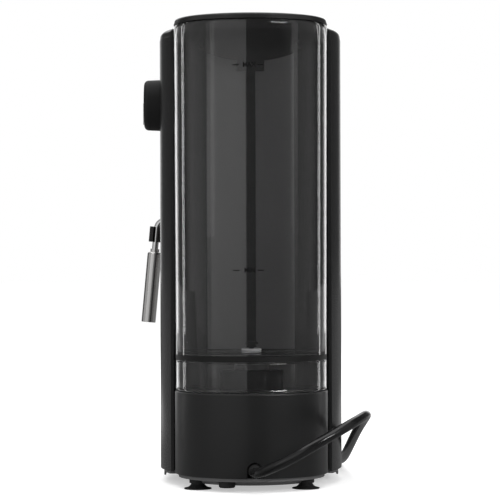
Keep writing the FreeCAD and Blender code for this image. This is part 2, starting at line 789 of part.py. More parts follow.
def pilot_lamp():
    """The small lens beside the push buttons."""
    lamp = solid(
        "Cylinder",
        "lamp_lens",
        Radius="LampRadius - 0.1",
        Height="CoverSkin + CupPlateThick + 0.4",
        spot=("0", "-LampAhead", "BodyTop - CoverSkin - CupPlateThick"),
    )
    return place(lamp, "pilot_lamp")


# ---------------------------------------------------------------- rear of the column

PANEL_FACE = "(BayDepth - PanelThick)"


def back_panel():
    """The cover plate behind the tank, with a dipped top edge."""
    body = new_body("back_panel")
    plate = new_sketch(body, "panel_outline", "XZ", at=PANEL_FACE)
    dip_radius = "((PanelHalf^2 + PanelDip^2) / (2 * PanelDip))"
    outline(
        plate,
        [
            ("-PanelHalf", "PanelFoot"),
            ("PanelHalf", "PanelFoot"),
            ("PanelHalf", "PanelTop"),
            ("0", "PanelTop - PanelDip", dip_radius, "right"),
            ("-PanelHalf", "PanelTop", dip_radius, "right"),
        ],
    )
    pad(body, plate, "PanelThick")
    return body


def panel_screws():
    """The two screws beside the panel's upper corners."""
    heads = [
        solid(
            "Cylinder",
            "panel_screw",
            Radius="PanelScrewRadius",
            Height="1.2",
            spot=(f"{side}PanelScrewAcross", "-BayDepth", "PanelScrewHeight"),
            turn=ALONG_Y,
        )
        for side in ("-", "")
    ]
    return place(fused("panel_screw_pair", *heads), "panel_screws")


def tank_rail():
    """The T-shaped rail that the tank slides down on."""
    body = new_body("tank_rail")
    face = f"({PANEL_FACE} - RailThick)"
    shape = new_sketch(body, "rail_outline", "XZ", at=face)
    low = "(RailHookTop - RailHookTall)"
    outline(
        shape,
        [
            ("-RailHalf", "RailFoot"),
            ("RailHalf", "RailFoot"),
            ("RailHalf", low),
            ("RailHookHalf", low),
            ("RailHookHalf", "RailHookTop - 1.2"),
            ("RailHookHalf - 1.2", "RailHookTop", "1.2"),
            ("-RailHookHalf + 1.2", "RailHookTop"),
            ("-RailHookHalf", "RailHookTop - 1.2", "1.2"),
            ("-RailHookHalf", low),
            ("-RailHalf", low),
        ],
    )
    pad(body, shape, "RailThick")
    return body


def rear_base():
    """The half-round pedestal that carries the tank and lets the cord out."""
    body = new_body("rear_base")
    plan = new_sketch(body, "rear_plan", at="BaseHeight")
    outline(plan, round_back("RearHalf", "BayDepth - SeatGap"))
    pad(body, plan, "RearTop - BaseHeight")
    rim = value("RearTop")
    soften(body, "1.2", lambda e: level(e, rim) and e.BoundBox.YMax > 1)

    hollow = new_sketch(body, "rear_hollow", at="BaseHeight")
    outline(hollow, round_back("RearHalf - RearWall", "BayDepth + 1"))
    cut(body, hollow, "RearTop - BaseHeight - RearWall", upward=True)

    bore = new_sketch(body, "rear_hose_hole", at="RearTop")
    ring(bore, "0", "ValveBack", "SocketRadius - 8")
    cut(body, bore, "RearWall")

    notch = new_sketch(body, "rear_notch", "XZ", at="-TankHalf * 1.2")
    outline(
        notch,
        [
            ("-NotchAcross - NotchHalf", "BaseHeight - 1"),
            ("-NotchAcross + NotchHalf", "BaseHeight - 1"),
            ("-NotchAcross + NotchHalf", "NotchTop - NotchHalf"),
            ("-NotchAcross", "NotchTop", "NotchHalf"),
            ("-NotchAcross - NotchHalf", "NotchTop - NotchHalf", "NotchHalf"),
        ],
    )
    cut(body, notch, "TankHalf * 0.6", upward=True)
    return body


def tank_socket():
    """The round boss that the tank's valve drops into, with the pin that opens it."""
    body = new_body("tank_socket")
    profile = new_sketch(body, "socket_profile", "XZ", at="-ValveBack")
    outline(
        profile,
        [
            ("StemRadius + 1", "RearTop - RearWall - 10"),
            ("SocketRadius - 9", "RearTop - RearWall - 10"),
            ("SocketRadius - 9", "RearTop"),
            ("SocketRadius", "RearTop"),
            ("SocketRadius", "SocketTop - 1.5"),
            ("SocketRadius - 1.5", "SocketTop", "1.5"),
            ("CollarRadius + 0.5", "SocketTop"),
            ("CollarRadius + 0.5", "SocketTop - CollarDeep - 0.5"),
            ("SpigotRadius + SeatGap", "SocketTop - CollarDeep - 0.5"),
            ("SpigotRadius + SeatGap", "SpigotFoot - 1"),
            ("StemRadius + 1", "SpigotFoot - 1"),
        ],
    )
    turned(body, profile)
    web = new_sketch(body, "socket_web", at="SpigotFoot - 4")
    outline(
        web,
        rectangle(
            "-SocketRadius / 3", "ValveBack - 1", "SocketRadius / 3", "ValveBack + 1"
        ),
    )
    pad(body, web, "2")
    pin = new_sketch(body, "socket_pin", at="SpigotFoot - 4")
    ring(pin, "0", "ValveBack", "PinRadius")
    pad(body, pin, "PlungerFoot - SeatGap - SpigotFoot + 4")
    return body


# ---------------------------------------------------------------- tank, lid and valve

TANK_FOOT = "(RearTop + SeatGap)"


def tank():
    """The clear tank: drafted walls, a floor above an open skirt, a valve hole."""
    body = new_body("tank")
    shrink = f"(tan(TankDraft) * (TankTop - {TANK_FOOT}))"
    low = new_sketch(body, "tank_plan", at=TANK_FOOT)
    outline(low, round_back(f"(TankHalf - {shrink})", "TankFront"))
    pad(body, low, f"TankTop - {TANK_FOOT}", TaperAngle="TankDraft")

    well = new_sketch(body, "tank_well", at="TankFloor")
    well_shrink = "(tan(TankDraft) * (TankTop - TankFloor))"
    outline(
        well, round_back(f"(TankHalf - {well_shrink} - TankWall)", "TankFront - TankWall")
    )
    cut(body, well, "TankTop - TankFloor", upward=True, TaperAngle="TankDraft")

    skirt = new_sketch(body, "tank_skirt", at=TANK_FOOT)
    outline(skirt, round_back(f"(TankHalf - {shrink} - TankWall)", "TankFront - TankWall"))
    cut(body, skirt, f"TankFloor - FloorThick - {TANK_FOOT}", upward=True)

    hole = new_sketch(body, "tank_valve_hole", at="TankFloor")
    ring(hole, "0", "ValveBack", "ValveBore")
    cut(body, hole, "FloorThick")
    return body


def tank_lid():
    """The lift-off lid: a thin plate over the rim with a plug skirt inside it."""
    body = new_body("tank_lid")
    foot = "(TankTop + SeatGap)"
    plan = new_sketch(body, "lid_plan", at=foot)
    outline(plan, round_back("TankHalf", "TankFront"))
    pad(body, plan, "LidThick")
    top = value(f"{foot} + LidThick")
    soften(body, "1.4", lambda e: level(e, top) and e.BoundBox.YMax > 0)
    plug = new_sketch(body, "lid_skirt", at=f"{foot} - LidSkirt")
    play = "(TankWall + LidPlay)"
    outline(plug, round_back(f"(TankHalf - {play})", f"(TankFront - {play})"))
    inner = "(TankWall + LidPlay + LidSkirtWall)"
    outline(plug, round_back(f"(TankHalf - {inner})", f"(TankFront - {inner})"))
    pad(body, plug, "LidSkirt")
    scoop = new_sketch(body, "lid_scoop", at=f"{foot} + LidThick")
    outline(scoop, slot_outline("-13", "13", "16", "7"))
    cut(body, scoop, "LidThick / 2")
    return body


def valve_body():
    """The valve in the tank's floor: collar, lower flange and spigot round a bore."""
    body = new_body("valve_body")
    profile = new_sketch(body, "valve_profile", "XZ", at="-ValveBack")
    under = "(TankFloor - FloorThick)"
    outline(
        profile,
        [
            ("PlungerRadius + 0.4", "SpigotFoot"),
            ("SpigotRadius", "SpigotFoot"),
            ("SpigotRadius", "SocketTop - CollarDeep"),
            ("CollarRadius", "SocketTop - CollarDeep"),
            ("CollarRadius", under),
            ("ValveBore - 0.1", under),
            ("ValveBore - 0.1", "TankFloor"),
            ("ValveRing", "TankFloor"),
            ("ValveRing", "TankFloor + 2.2"),
            ("ValveRing - 0.8", "TankFloor + 3", "0.8"),
            ("PlungerStem + 0.8", "TankFloor + 3"),
            ("PlungerStem + 0.8", "TankFloor + 0.6"),
            ("PlungerRadius + 0.4", "TankFloor + 0.6"),
        ],
    )
    turned(body, profile)
    return body


def valve_plunger():
    """The plunger that the socket's pin holds open, with its mushroom head."""
    body = new_body("valve_plunger")
    profile = new_sketch(body, "plunger_profile", "XZ", at="-ValveBack")
    seat = "(TankFloor + 3 + PlungerLift)"
    outline(
        profile,
        [
            ("0", "PlungerFoot"),
            ("PlungerRadius", "PlungerFoot"),
            ("PlungerRadius", "PlungerFoot + 2.4"),
            ("PlungerStem", "PlungerFoot + 2.4"),
            ("PlungerStem", seat),
            ("PlungerRadius + 1.4", seat),
            ("PlungerRadius + 1.4", f"{seat} + 1.2"),
            ("0", f"{seat} + 1.2 + PlungerRadius + 1.4", "PlungerRadius + 1.4"),
        ],
    )
    turned(body, profile)
    return body


def valve_spring():
    """The coil spring round the plunger's stem."""
    body = new_body("valve_spring")
    wire = new_sketch(body, "spring_wire", "XZ", at="-ValveBack")
    start = "(PlungerFoot + 2.4 + SeatGap + SpringWire)"
    ring(wire, "PlungerRadius - SpringWire - 0.1", start, "SpringWire")
    coil = body.newObject("PartDesign::AdditiveHelix", "spring_coil")
    coil.Profile = wire
    coil.ReferenceAxis = (wire, ["V_Axis"])
    coil.Mode = "pitch-turns-angle"
    span = "(TankFloor + 0.6 - PlungerFoot - 2.4 - 2 * SeatGap - 2 * SpringWire)"
    bind(coil, "Pitch", f"{span} / SpringTurns")
    bind(coil, "Turns", "SpringTurns")
    return body


# ---------------------------------------------------------------- underside

PLATE_FOOT = "(BaseHeight - PlateThick)"


def base_plate():
    """The plate that closes the housing, with a short lip down each side."""
    body = new_body("base_plate")
    plan = new_sketch(body, "plate_plan", at=PLATE_FOOT)
    outline(plan, oval("PlateInset", "BayDepth"))
    pad(body, plan, "PlateThick")
    lip = new_sketch(body, "plate_lip", at="LipFoot")
    outline(lip, oval("PlateInset", "BayDepth"))
    outline(lip, oval("(PlateInset + LipWall)", "(BayDepth + LipWall)"))
    pad(body, lip, f"{PLATE_FOOT} - LipFoot")
    opening = new_sketch(body, "plate_lip_gap", at="LipFoot")
    front = f"-({NOSE_CENTRE} + {NOSE_RADIUS})"
    for near, far in ((front, "-WidestAhead - LipAhead"), ("LipBack - WidestAhead", "0")):
        outline(opening, rectangle("-BodyHalf", near, "BodyHalf", far))
    cut(body, opening, f"{PLATE_FOOT} - LipFoot", upward=True)
    rear = new_sketch(body, "plate_rear", at=PLATE_FOOT)
    outline(rear, round_back("(RearHalf - PlateInset)", "BayDepth + LipWall"))
    pad(body, rear, "PlateThick")
    return body


def pan_plan(inset):
    """The pan in plan: half-round at the rear, straight sides, round front corners."""
    half = f"(PanHalf - {inset})"
    corner = f"(18 - {inset})"
    front = f"(-PanFront + {inset})"
    rear = round_back(half, "0")[2:]
    return (
        [
            (f"-{half} + {corner}", front, corner),
            (f"{half} - {corner}", front),
            (half, f"{front} + {corner}", corner),
            (half, "0"),
        ]
        + rear[1:]
        + [(f"-{half}", f"{front} + {corner}")]
    )


def bottom_pan():
    """The paler pan under the plate, notched round the four feet."""
    body = new_body("bottom_pan")
    plan = new_sketch(body, "pan_plan", at="PanBottom")
    outline(plan, pan_plan("0"))
    pad(body, plan, f"{PLATE_FOOT} - PanBottom")
    low = value("PanBottom")
    soften(body, "PanSlope", lambda e: level(e, low), kind="Chamfer")
    wells = new_sketch(body, "pan_foot_wells", at="PanBottom")
    for side in ("-", ""):
        ring(wells, f"{side}FootAcross", "RearFeetBack", "FootNeck + SeatGap")
        ring(wells, f"{side}FootAcross", "-FrontFeetAhead", "FootNeck + SeatGap")
    ring(wells, "PegAcross", "PegBack", "PegRadius + 0.2")
    cut(body, wells, f"{PLATE_FOOT} - PanBottom", upward=True)
    vent = new_sketch(body, "pan_vent", at="PanBottom")
    reach = "(VentLong / 2 - VentWide / 2)"
    span = "(VentPitch * (VentCount - 1))"
    first = f"-(VentAhead + {span})"
    outline(vent, slot_outline(f"-{reach}", reach, first, "(VentWide / 2)"))
    slot = cut(body, vent, f"{PLATE_FOOT} - PanBottom", upward=True)
    repeat(
        body,
        slot,
        "LinearPattern",
        (vent, ["V_Axis"]),
        Length=span,
        Occurrences="VentCount",
    )
    return body


def foot(name, across, along):
    """A flared rubber foot with a hollow sole and a stepped neck."""
    body = new_body(name)
    step = "(PanBottom - FootFlare + SeatGap)"
    profile = new_sketch(body, name + "_profile", "XZ", at="0")
    outline(
        profile,
        [
            ("0", "0.8"),
            ("FootRadius - 2.5", "0.8"),
            ("FootRadius - 1.6", "0"),
            ("FootRadius", "0"),
            ("FootRadius", "0.7"),
            ("FootWaist", "FootFlare", "6", "right"),
            ("FootWaist", f"FootFlare + {step}"),
            ("FootNeck", f"FootFlare + {step}"),
            ("FootNeck", PLATE_FOOT),
            ("0", PLATE_FOOT),
        ],
    )
    turned(body, profile)
    body.Placement = Placement()
    bind(body, "Placement.Base.x", f"{across} - {ACROSS}")
    bind(body, "Placement.Base.y", f"{along} - {ALONG}")
    return body


def rear_peg():
    """The short round peg beside the cord."""
    body = new_body("rear_peg")
    plan = new_sketch(body, "peg_plan", at="PegBottom")
    ring(plan, "PegAcross", "PegBack", "PegRadius")
    pad(body, plan, f"{PLATE_FOOT} - PegBottom")
    low = value("PegBottom")
    soften(body, "0.8", lambda e: level(e, low), kind="Chamfer")
    return body


# ---------------------------------------------------------------- drip tray

TRAY_BACK = "(ColumnFront + TrayGap)"
TRAY_FOOT = "(BaseHeight + SeatGap)"
GRID_SEAT = "(TrayTop - GridThick - 0.2)"


def drip_tray():
    """The round-nosed tray that slides out to the front."""
    body = new_body("drip_tray")
    plan = new_sketch(body, "tray_plan", at=TRAY_FOOT)
    outline(plan, oval_front("0", TRAY_BACK))
    pad(body, plan, f"TrayTop - {TRAY_FOOT}")
    low = value(TRAY_FOOT)
    soften(body, "1.6", lambda e: level(e, low) and e.BoundBox.YLength > 20)
    bowl = new_sketch(body, "tray_bowl", at="TrayTop")
    outline(bowl, oval_front("(TrayWall + 1.4)", f"({TRAY_BACK} + TrayWall + 1.4)"))
    cut(body, bowl, f"TrayTop - {TRAY_FOOT} - TrayWall")
    ledge = new_sketch(body, "tray_ledge", at="TrayTop")
    outline(ledge, oval_front("TrayWall", f"({TRAY_BACK} + TrayWall)"))
    cut(body, ledge, f"TrayTop - {GRID_SEAT}")
    return body


def drip_grid():
    """The slotted sheet that cups stand on."""
    body = new_body("drip_grid")
    plan = new_sketch(body, "grid_plan", at=GRID_SEAT)
    outline(plan, oval_front("(TrayWall + SeatGap)", f"({TRAY_BACK} + TrayWall + SeatGap)"))
    pad(body, plan, "GridThick")
    slots = new_sketch(body, "grid_slots", at=f"{GRID_SEAT} + GridThick")
    for step in range(-5, 6):
        middle = f"({step} * GridSlotPitch)"
        spread = (5.6 - abs(step)) * 5 + 4
        near = "(-FloatAhead + 13)" if step == 0 else f"(-GroupAhead - {spread})"
        outline(slots, across_slot(middle, near, "(-GroupAhead + 24)", "(GridSlotWide / 2)"))
    ring(slots, "0", "-FloatAhead", "FloatRadius + 0.5")
    cut(body, slots, "GridThick")
    return body


def across_slot(middle, near, far, half):
    """A slot with round ends, along the sketch's second axis."""
    return [
        (f"{middle} + {half}", near, half),
        (f"{middle} + {half}", far),
        (middle, f"{far} + {half}", half),
        (f"{middle} - {half}", far, half),
        (f"{middle} - {half}", near),
        (middle, f"{near} - {half}", half),
    ]


def tray_float():
    """The float that rises through the grid when the tray is full."""
    body = new_body("tray_float")
    profile = new_sketch(body, "float_profile", "XZ", at="FloatAhead")
    foot_height = f"({TRAY_FOOT} + TrayWall + SeatGap)"
    outline(
        profile,
        [
            ("0", foot_height),
            ("FloatRadius + 3", foot_height),
            ("FloatRadius + 3", f"{foot_height} + 9"),
            ("FloatRadius", f"{foot_height} + 12"),
            ("FloatRadius", f"{GRID_SEAT} + 0.4"),
            ("FloatRadius - 1", f"{GRID_SEAT} + 1.4", "1"),
            ("0", f"{GRID_SEAT} + 1.4"),
        ],
    )
    turned(body, profile)
    return body


def splash_plate():
    """The thin steel sheet on the column's front."""
    body = new_body("splash_plate")
    sheet = new_sketch(body, "splash_outline", "XZ", at="ColumnFront")
    outline(
        sheet,
        rectangle("-SplashHalf", "TrayTop + 6", "SplashHalf", "HeadUnder - CupCorner - 2"),
    )
    pad(body, sheet, "SplashThick")
    return body


# ---------------------------------------------------------------- steam knob and valve

KNOB_BACK = "(BodyHalf + 0.6)"


def steam_knob():
    """The round knob on the machine's side, slightly tapered, with a bored hub."""
    body = new_body("steam_knob")
    profile = new_sketch(body, "knob_profile", at="KnobHeight")
    line = "-KnobAhead"
    outline(
        profile,
        [
            (KNOB_BACK, f"{line} + StemRadius"),
            (KNOB_BACK, f"{line} + StemRadius + 3"),
            (f"{KNOB_BACK} + 5", f"{line} + StemRadius + 3"),
            (f"{KNOB_BACK} + 5", f"{line} + KnobRadius - 2.2"),
            (KNOB_BACK, f"{line} + KnobRadius - 2.2"),
            (KNOB_BACK, f"{line} + KnobRadius"),
            ("KnobReach - KnobRound", f"{line} + KnobRadius - 0.4"),
            ("KnobReach", f"{line} + KnobRadius - KnobRound", "KnobRound + 0.4", "right"),
            ("KnobReach", line),
            ("KnobReach - 3", line),
            ("KnobReach - 3", f"{line} + StemRadius"),
        ],
    )
    axle = profile.addGeometry(
        Part.LineSegment(
            Vector(0, value(line), 0), Vector(value("KnobReach"), value(line), 0)
        ),
        True,
    )
    fix_point(profile, axle, 1, "0", line)
    fix_point(profile, axle, 2, "KnobReach", line)
    turned(body, profile, "Axis0")
    return body


def knob_pointer():
    """The pale strip on the knob's face, pointing down at rest."""
    strip = solid(
        "Box",
        "pointer_strip",
        Length="1",
        Width="PointerWide",
        Height="PointerLong",
        spot=(
            "KnobReach",
            "-KnobAhead - PointerWide / 2",
            "KnobHeight + 1.6 - PointerLong",
        ),
    )
    return place(strip, "knob_pointer")


def valve_stem():
    stem = solid(
        "Cylinder",
        "stem_rod",
        Radius="StemRadius",
        Height="KnobReach - 3 - (BodyHalf - ValveLong)",
        spot=("BodyHalf - ValveLong", "-KnobAhead", "KnobHeight"),
        turn=ALONG_X,
    )
    return place(stem, "valve_stem")


def steam_valve():
    """The brass valve behind the knob, bored for the stem, with its outlet boss."""
    flange = side_half("(BodyWall + SeatGap)", "(KnobAhead + 13)")
    rear = "(BodyHalf - ValveLong - 10)"
    barrel = solid(
        "Cylinder",
        "valve_barrel",
        Radius="9",
        Height=f"{flange} - {rear}",
        spot=(rear, "-KnobAhead", "KnobHeight"),
        turn=ALONG_X,
    )
    rim = solid(
        "Cylinder",
        "valve_flange",
        Radius="13",
        Height="3",
        spot=(f"{flange} - 3", "-KnobAhead", "KnobHeight"),
        turn=ALONG_X,
    )
    outlet = solid(
        "Cylinder",
        "valve_outlet",
        Radius="5",
        Height="14",
        spot=(f"{rear} + 8", "-KnobAhead", "KnobHeight - 14"),
    )
    bore = solid(
        "Cylinder",
        "valve_bore",
        Radius="StemRadius + StemPlay",
        Height="ValveLong + 2",
        spot=("BodyHalf - ValveLong - 1", "-KnobAhead", "KnobHeight"),
        turn=ALONG_X,
    )
    whole = fused("valve_casting", barrel, rim, outlet)
    return place(less("valve_bored", whole, bore), "steam_valve")


# ---------------------------------------------------------------- steam wand

# The wand is drawn upright from the end of its elbow and then leans by its tilt.
ELBOW_END = ("WandElbow + WandBend * cos(WandTilt)", "WandHeight - WandBend * (1 - sin(WandTilt))")


def wand_piece(body):
    """Leans a piece that is drawn about the Z axis, and moves it to the elbow's end."""
    body.Placement = Placement(Vector(), Rotation(Vector(0, 1, 0), -value("WandTilt")))
    bind(body, "Placement.Rotation.Angle", "WandTilt")
    body.Placement.Rotation.Axis = Vector(0, -1, 0)
    bind(body, "Placement.Base.x", f"{ELBOW_END[0]} - {ACROSS}")
    bind(body, "Placement.Base.y", f"-WandAhead - {ALONG}")
    bind(body, "Placement.Base.z", ELBOW_END[1])
    return body


def wand_tube():
    """The bent steam pipe: out of its pivot, round the elbow and down."""
    body = new_body("wand_tube")
    route = new_sketch(body, "wand_route", "XZ", at="WandAhead")
    points = [
        ("WandStart", "WandHeight"),
        ("WandElbow", "WandHeight"),
        ELBOW_END,
        (f"{ELBOW_END[0]} + WandDrop * sin(WandTilt)", f"{ELBOW_END[1]} - WandDrop * cos(WandTilt)"),
    ]
    spots = [Vector(value(a), value(b), 0) for a, b in points]
    bend = value("WandBend")
    centre = Vector(spots[1].x, spots[1].y - bend, 0)
    lean = math.radians(value("WandTilt"))
    route.addGeometry(Part.LineSegment(spots[0], spots[1]), False)
    arc = Part.ArcOfCircle(Part.Circle(centre, Vector(0, 0, 1), bend), lean, math.pi / 2)
    route.addGeometry(arc, False)
    route.addGeometry(Part.LineSegment(spots[2], spots[3]), False)
    route.addConstraint(Sketcher.Constraint("Coincident", 0, 2, 1, 2))
    route.addConstraint(Sketcher.Constraint("Coincident", 1, 1, 2, 1))
    for geo, end, (across, up) in zip((0, 0, 2, 2), (1, 2, 1, 2), points):
        fix_point(route, geo, end, across, up)
    radius = route.addConstraint(Sketcher.Constraint("Radius", 1, bend))
    bind(route, f"Constraints[{radius}]", "WandBend")
    section = new_sketch(body, "wand_section", "YZ", at="WandStart")
    ring(section, "-WandAhead", "WandHeight", "WandRadius")
    ring(section, "-WandAhead", "WandHeight", "WandRadius - 0.8")
    pipe = body.newObject("PartDesign::AdditivePipe", "wand_pipe")
    pipe.Profile = section
    pipe.Spine = (route, ["Edge1", "Edge2", "Edge3"])
    return body


def wand_sleeve():
    """The steel frothing sleeve with a ringed, rounded shoulder, open below."""
    body = new_body("wand_sleeve")
    profile = new_sketch(body, "sleeve_profile", "XZ")
    top = "-SleeveBelow"
    foot_line = "(-SleeveBelow - SleeveLong)"
    shoulder = "(SleeveRadius - WandRadius - RingThick)"
    outline(
        profile,
        [
            ("WandRadius + 0.1", f"{top} + RingTall"),
            ("WandRadius + 0.1", f"{top} - 12"),
            ("SleeveRadius - SleeveWall", f"{top} - 12"),
            ("SleeveRadius - SleeveWall", foot_line),
            ("SleeveRadius", foot_line),
            ("SleeveRadius", f"{top} - {shoulder}"),
            ("WandRadius + RingThick", top, shoulder),
            ("WandRadius + RingThick", f"{top} + RingTall"),
        ],
    )
    turned(body, profile)
    return wand_piece(body)


def wand_nozzle():
    """The jet at the tube's end, inside the sleeve."""
    body = new_body("wand_nozzle")
    profile = new_sketch(body, "nozzle_profile", "XZ")
    outline(
        profile,
        [
            ("0.6", "-WandDrop"),
            ("WandRadius + 1.2", "-WandDrop"),
            ("WandRadius + 1.2", "-WandDrop - 4"),
            ("1.4", "-WandDrop - 6"),
            ("0.6", "-WandDrop - 6"),
        ],
    )
    turned(body, profile)
    return wand_piece(body)


def wand_grip():
    """The C-shaped grip on the tube, open to the rear."""
    body = new_body("wand_grip")
    plan = new_sketch(body, "grip_plan", at="GripAbove - GripTall")
    gape = "GripGape"
    inner = "(WandRadius + SeatGap)"
    outer_back = f"sqrt(GripRadius^2 - {gape}^2)"
    inner_back = f"sqrt({inner}^2 - {gape}^2)"
    outline(
        plan,
        [
            (f"-{gape}", outer_back),
            ("-GripRadius", "0", "GripRadius"),
            ("0", "-GripRadius", "GripRadius"),
            ("GripRadius", "0", "GripRadius"),
            (gape, outer_back, "GripRadius"),
            (gape, inner_back),
            (inner, "0", inner, "right"),
            ("0", f"-{inner}", inner, "right"),
            (f"-{inner}", "0", inner, "right"),
            (f"-{gape}", inner_back, inner, "right"),
        ],
    )
    pad(body, plan, "GripTall")
    return wand_piece(body)


def wand_joint():
    """The pivot block under the head that the wand's tube turns in."""
    block = solid(
        "Box",
        "joint_block",
        Length="15",
        Width="16",
        Height="HeadUnder - WandHeight + 7",
        spot=("WandStart - 5", "-WandAhead - 8", "WandHeight - 7"),
    )
    collar = solid(
        "Cylinder",
        "joint_collar",
        Radius="5.6",
        Height="4",
        spot=("WandStart + 10", "-WandAhead", "WandHeight"),
        turn=ALONG_X,
    )
    bore = solid(
        "Cylinder",
        "joint_bore",
        Radius="WandRadius + StemPlay",
        Height="16",
        spot=("WandStart - SeatGap", "-WandAhead", "WandHeight"),
        turn=ALONG_X,
    )
    rounded = doc.addObject("Part::Fillet", "joint_rounded")
    rounded.Base = block
    doc.recompute()
    upright = [
        i
        for i, edge in enumerate(block.Shape.Edges, start=1)
        if edge.BoundBox.ZLength > 1
    ]
    rounded.Edges = [(i, 2.0, 2.0) for i in upright]
    return place(less("joint_bored", fused("joint", rounded, collar), bore), "wand_joint")


def steam_pipe():
    """The thin pipe from the steam valve down to the wand's pivot."""
    outlet = value("BodyHalf - ValveLong - 10 + 8")
    valve_foot = value("KnobHeight - 14")
    ahead, wand = value("KnobAhead"), value("WandAhead")
    top = value("HeadUnder")
    fall = valve_foot - top
    points = [
        (outlet, -ahead, valve_foot),
        (outlet, -ahead, top + 0.7 * fall),
        (outlet + 4, -(ahead + wand) / 2, top + 0.48 * fall),
        (value("WandStart + 2.5"), -wand, top + 0.36 * fall),
        (value("WandStart + 2.5"), -wand, top + value("BodyWall")),
    ]
    return tube("steam_pipe", points, value("PipeRadius"))


# ---------------------------------------------------------------- brewing group


def group_head():
    """The cast ring of the brewing group, with a bayonet flange open at two gaps."""
    body = new_body("group_head")
    profile = new_sketch(body, "group_profile", "XZ", at="GroupAhead")
    roof = "(GroupBottom + FlangeThick + EarRoom)"
    outline(
        profile,
        [
            ("FlangeBore", "GroupBottom"),
            ("GroupRadius - 1", "GroupBottom"),
            ("GroupRadius", "GroupBottom + 1", "1"),
            ("GroupRadius", "HeadUnder"),
            ("GroupRadius - 6 - SeatGap", "HeadUnder"),
            ("GroupRadius - 6 - SeatGap", "HeadUnder + BodyWall"),
            ("0", "HeadUnder + BodyWall"),
            ("0", f"{roof} + 6"),
            ("GroupBore", f"{roof} + 6"),
            ("GroupBore", "GroupBottom + FlangeThick"),
            ("FlangeBore", "GroupBottom + FlangeThick"),
        ],
    )
    turned(body, profile)
    gap = new_sketch(body, "flange_gap", at="GroupBottom - 1")
    angle = "EarGapHalfAngle"
    turn = "(90 - LockTurn)"
    reach = "(GroupBore - 0.01)"
    inner = "(FlangeBore - 2)"
    outline(gap, sector(inner, reach, turn, angle))
    outline(gap, sector(inner, reach, f"{turn} + 180", angle))
    cut(body, gap, "FlangeThick + 1.5", upward=True)
    return body


def sector(inner, outer, middle, half):
    """A stretch of ring round the group's axis, as an outline in plan."""
    low, high = f"({middle} - {half})", f"({middle} + {half})"

    def spot(radius, turn):
        return (f"{radius} * cos({turn})", f"-GroupAhead + {radius} * sin({turn})")

    return [
        (*spot(inner, low), inner, "right"),
        spot(outer, low),
        (*spot(outer, high), outer),
        spot(inner, high),
    ]


def group_collar():
    """The black trim ring round the group, under the head."""
    body = new_body("group_collar")
    profile = new_sketch(body, "collar_profile", "XZ", at="GroupAhead")
    inner = "(GroupRadius + SeatGap)"
    outline(
        profile,
        [
            (inner, "GroupBottom + CollarRise"),
            (f"{inner} + CollarThin", "GroupBottom + CollarRise"),
            (f"{inner} + CollarThick", "HeadUnder"),
            (inner, "HeadUnder"),
        ],
    )
    turned(body, profile)
    return body


GASKET_TOP = "(GroupBottom + FlangeThick + EarRoom + 6)"


def group_gasket():
    """The rubber ring that the portafilter's rim presses on."""
    body = new_body("group_gasket")
    profile = new_sketch(body, "gasket_profile", "XZ", at="GroupAhead")
    low = f"({GASKET_TOP} - 5.4)"
    outline(
        profile,
        rectangle("BowlRadius - 4", low, "GroupBore - 0.2", GASKET_TOP),
    )
    turned(body, profile)
    return body


def shower_screen():
    """The perforated disc that spreads the water."""
    body = new_body("shower_screen")
    profile = new_sketch(body, "screen_profile", "XZ", at="GroupAhead")
    reach = "(BowlRadius - 4.6)"
    low = f"({GASKET_TOP} - 3)"
    outline(
        profile,
        [
            ("2.2", low),
            (reach, low),
            (reach, GASKET_TOP),
            (f"{reach} - 0.8", GASKET_TOP),
            (f"{reach} - 0.8", f"{low} + 0.8"),
            ("2.2", f"{low} + 0.8"),
        ],
    )
    turned(body, profile)
    hole = new_sketch(body, "screen_hole", at=low)
    for reach in ("7", "11.5", "16"):
        ring(hole, reach, "-GroupAhead", "0.9")
    opening = cut(body, hole, "0.8", upward=True)
    axis = (profile, ["V_Axis"])
    repeat(body, opening, "PolarPattern", axis, Angle=str(FULL_TURN), Occurrences="12")
    return body


def screen_screw():
    """The screw through the shower screen into the group."""
    head = solid(
        "Cylinder",
        "screw_head",
        Radius="4",
        Height="2",
        spot=("0", "-GroupAhead", f"{GASKET_TOP} - 5"),
    )
    shank = solid(
        "Cylinder",
        "screw_shank",
        Radius="2",
        Height="3",
        spot=("0", "-GroupAhead", f"{GASKET_TOP} - 3"),
    )
    return place(fused("screw", head, shank), "screen_screw")


BOWL_TOP = f"({GASKET_TOP} - 5.4 - 0.2)"


def portafilter():
    """The filter holder: a turned bowl with two ears and the handle's socket."""
    body = new_body("portafilter")
    profile = new_sketch(body, "bowl_profile", "XZ", at="GroupAhead")
    low = f"({BOWL_TOP} - BowlDeep)"
    inner = "(BowlRadius - BowlWall)"
    outline(
        profile,
        [
            ("4", low),
            ("BowlRadius - 7", low),
            ("BowlRadius", f"{low} + 7", "7"),
            ("BowlRadius", "GroupBottom - 3"),
            ("BowlRadius + 4", "GroupBottom - 3"),
            ("BowlRadius + 4", "GroupBottom - 1"),
            ("BowlRadius", "GroupBottom - 1"),
            ("BowlRadius", BOWL_TOP),
            (inner, BOWL_TOP),
            (inner, f"{low} + 6"),
            (f"{inner} - 4", f"{low} + BowlWall", "4", "right"),
            ("4", f"{low} + BowlWall"),
        ],
    )
    turned(body, profile)
    ears = new_sketch(body, "portafilter_ears", at="GroupBottom + FlangeThick + 0.3")
    outline(ears, sector("(BowlRadius - 1)", "(GroupBore - 0.5)", "90", "EarHalfAngle"))
    outline(ears, sector("(BowlRadius - 1)", "(GroupBore - 0.5)", "270", "EarHalfAngle"))
    pad(body, ears, "EarRoom - 0.6")
    arm = new_sketch(body, "portafilter_arm", "XZ", at="GroupAhead + BowlRadius - 2")
    ring(arm, "0", "GroupBottom - 11", "6.5")
    pad(body, arm, "12")
    return body


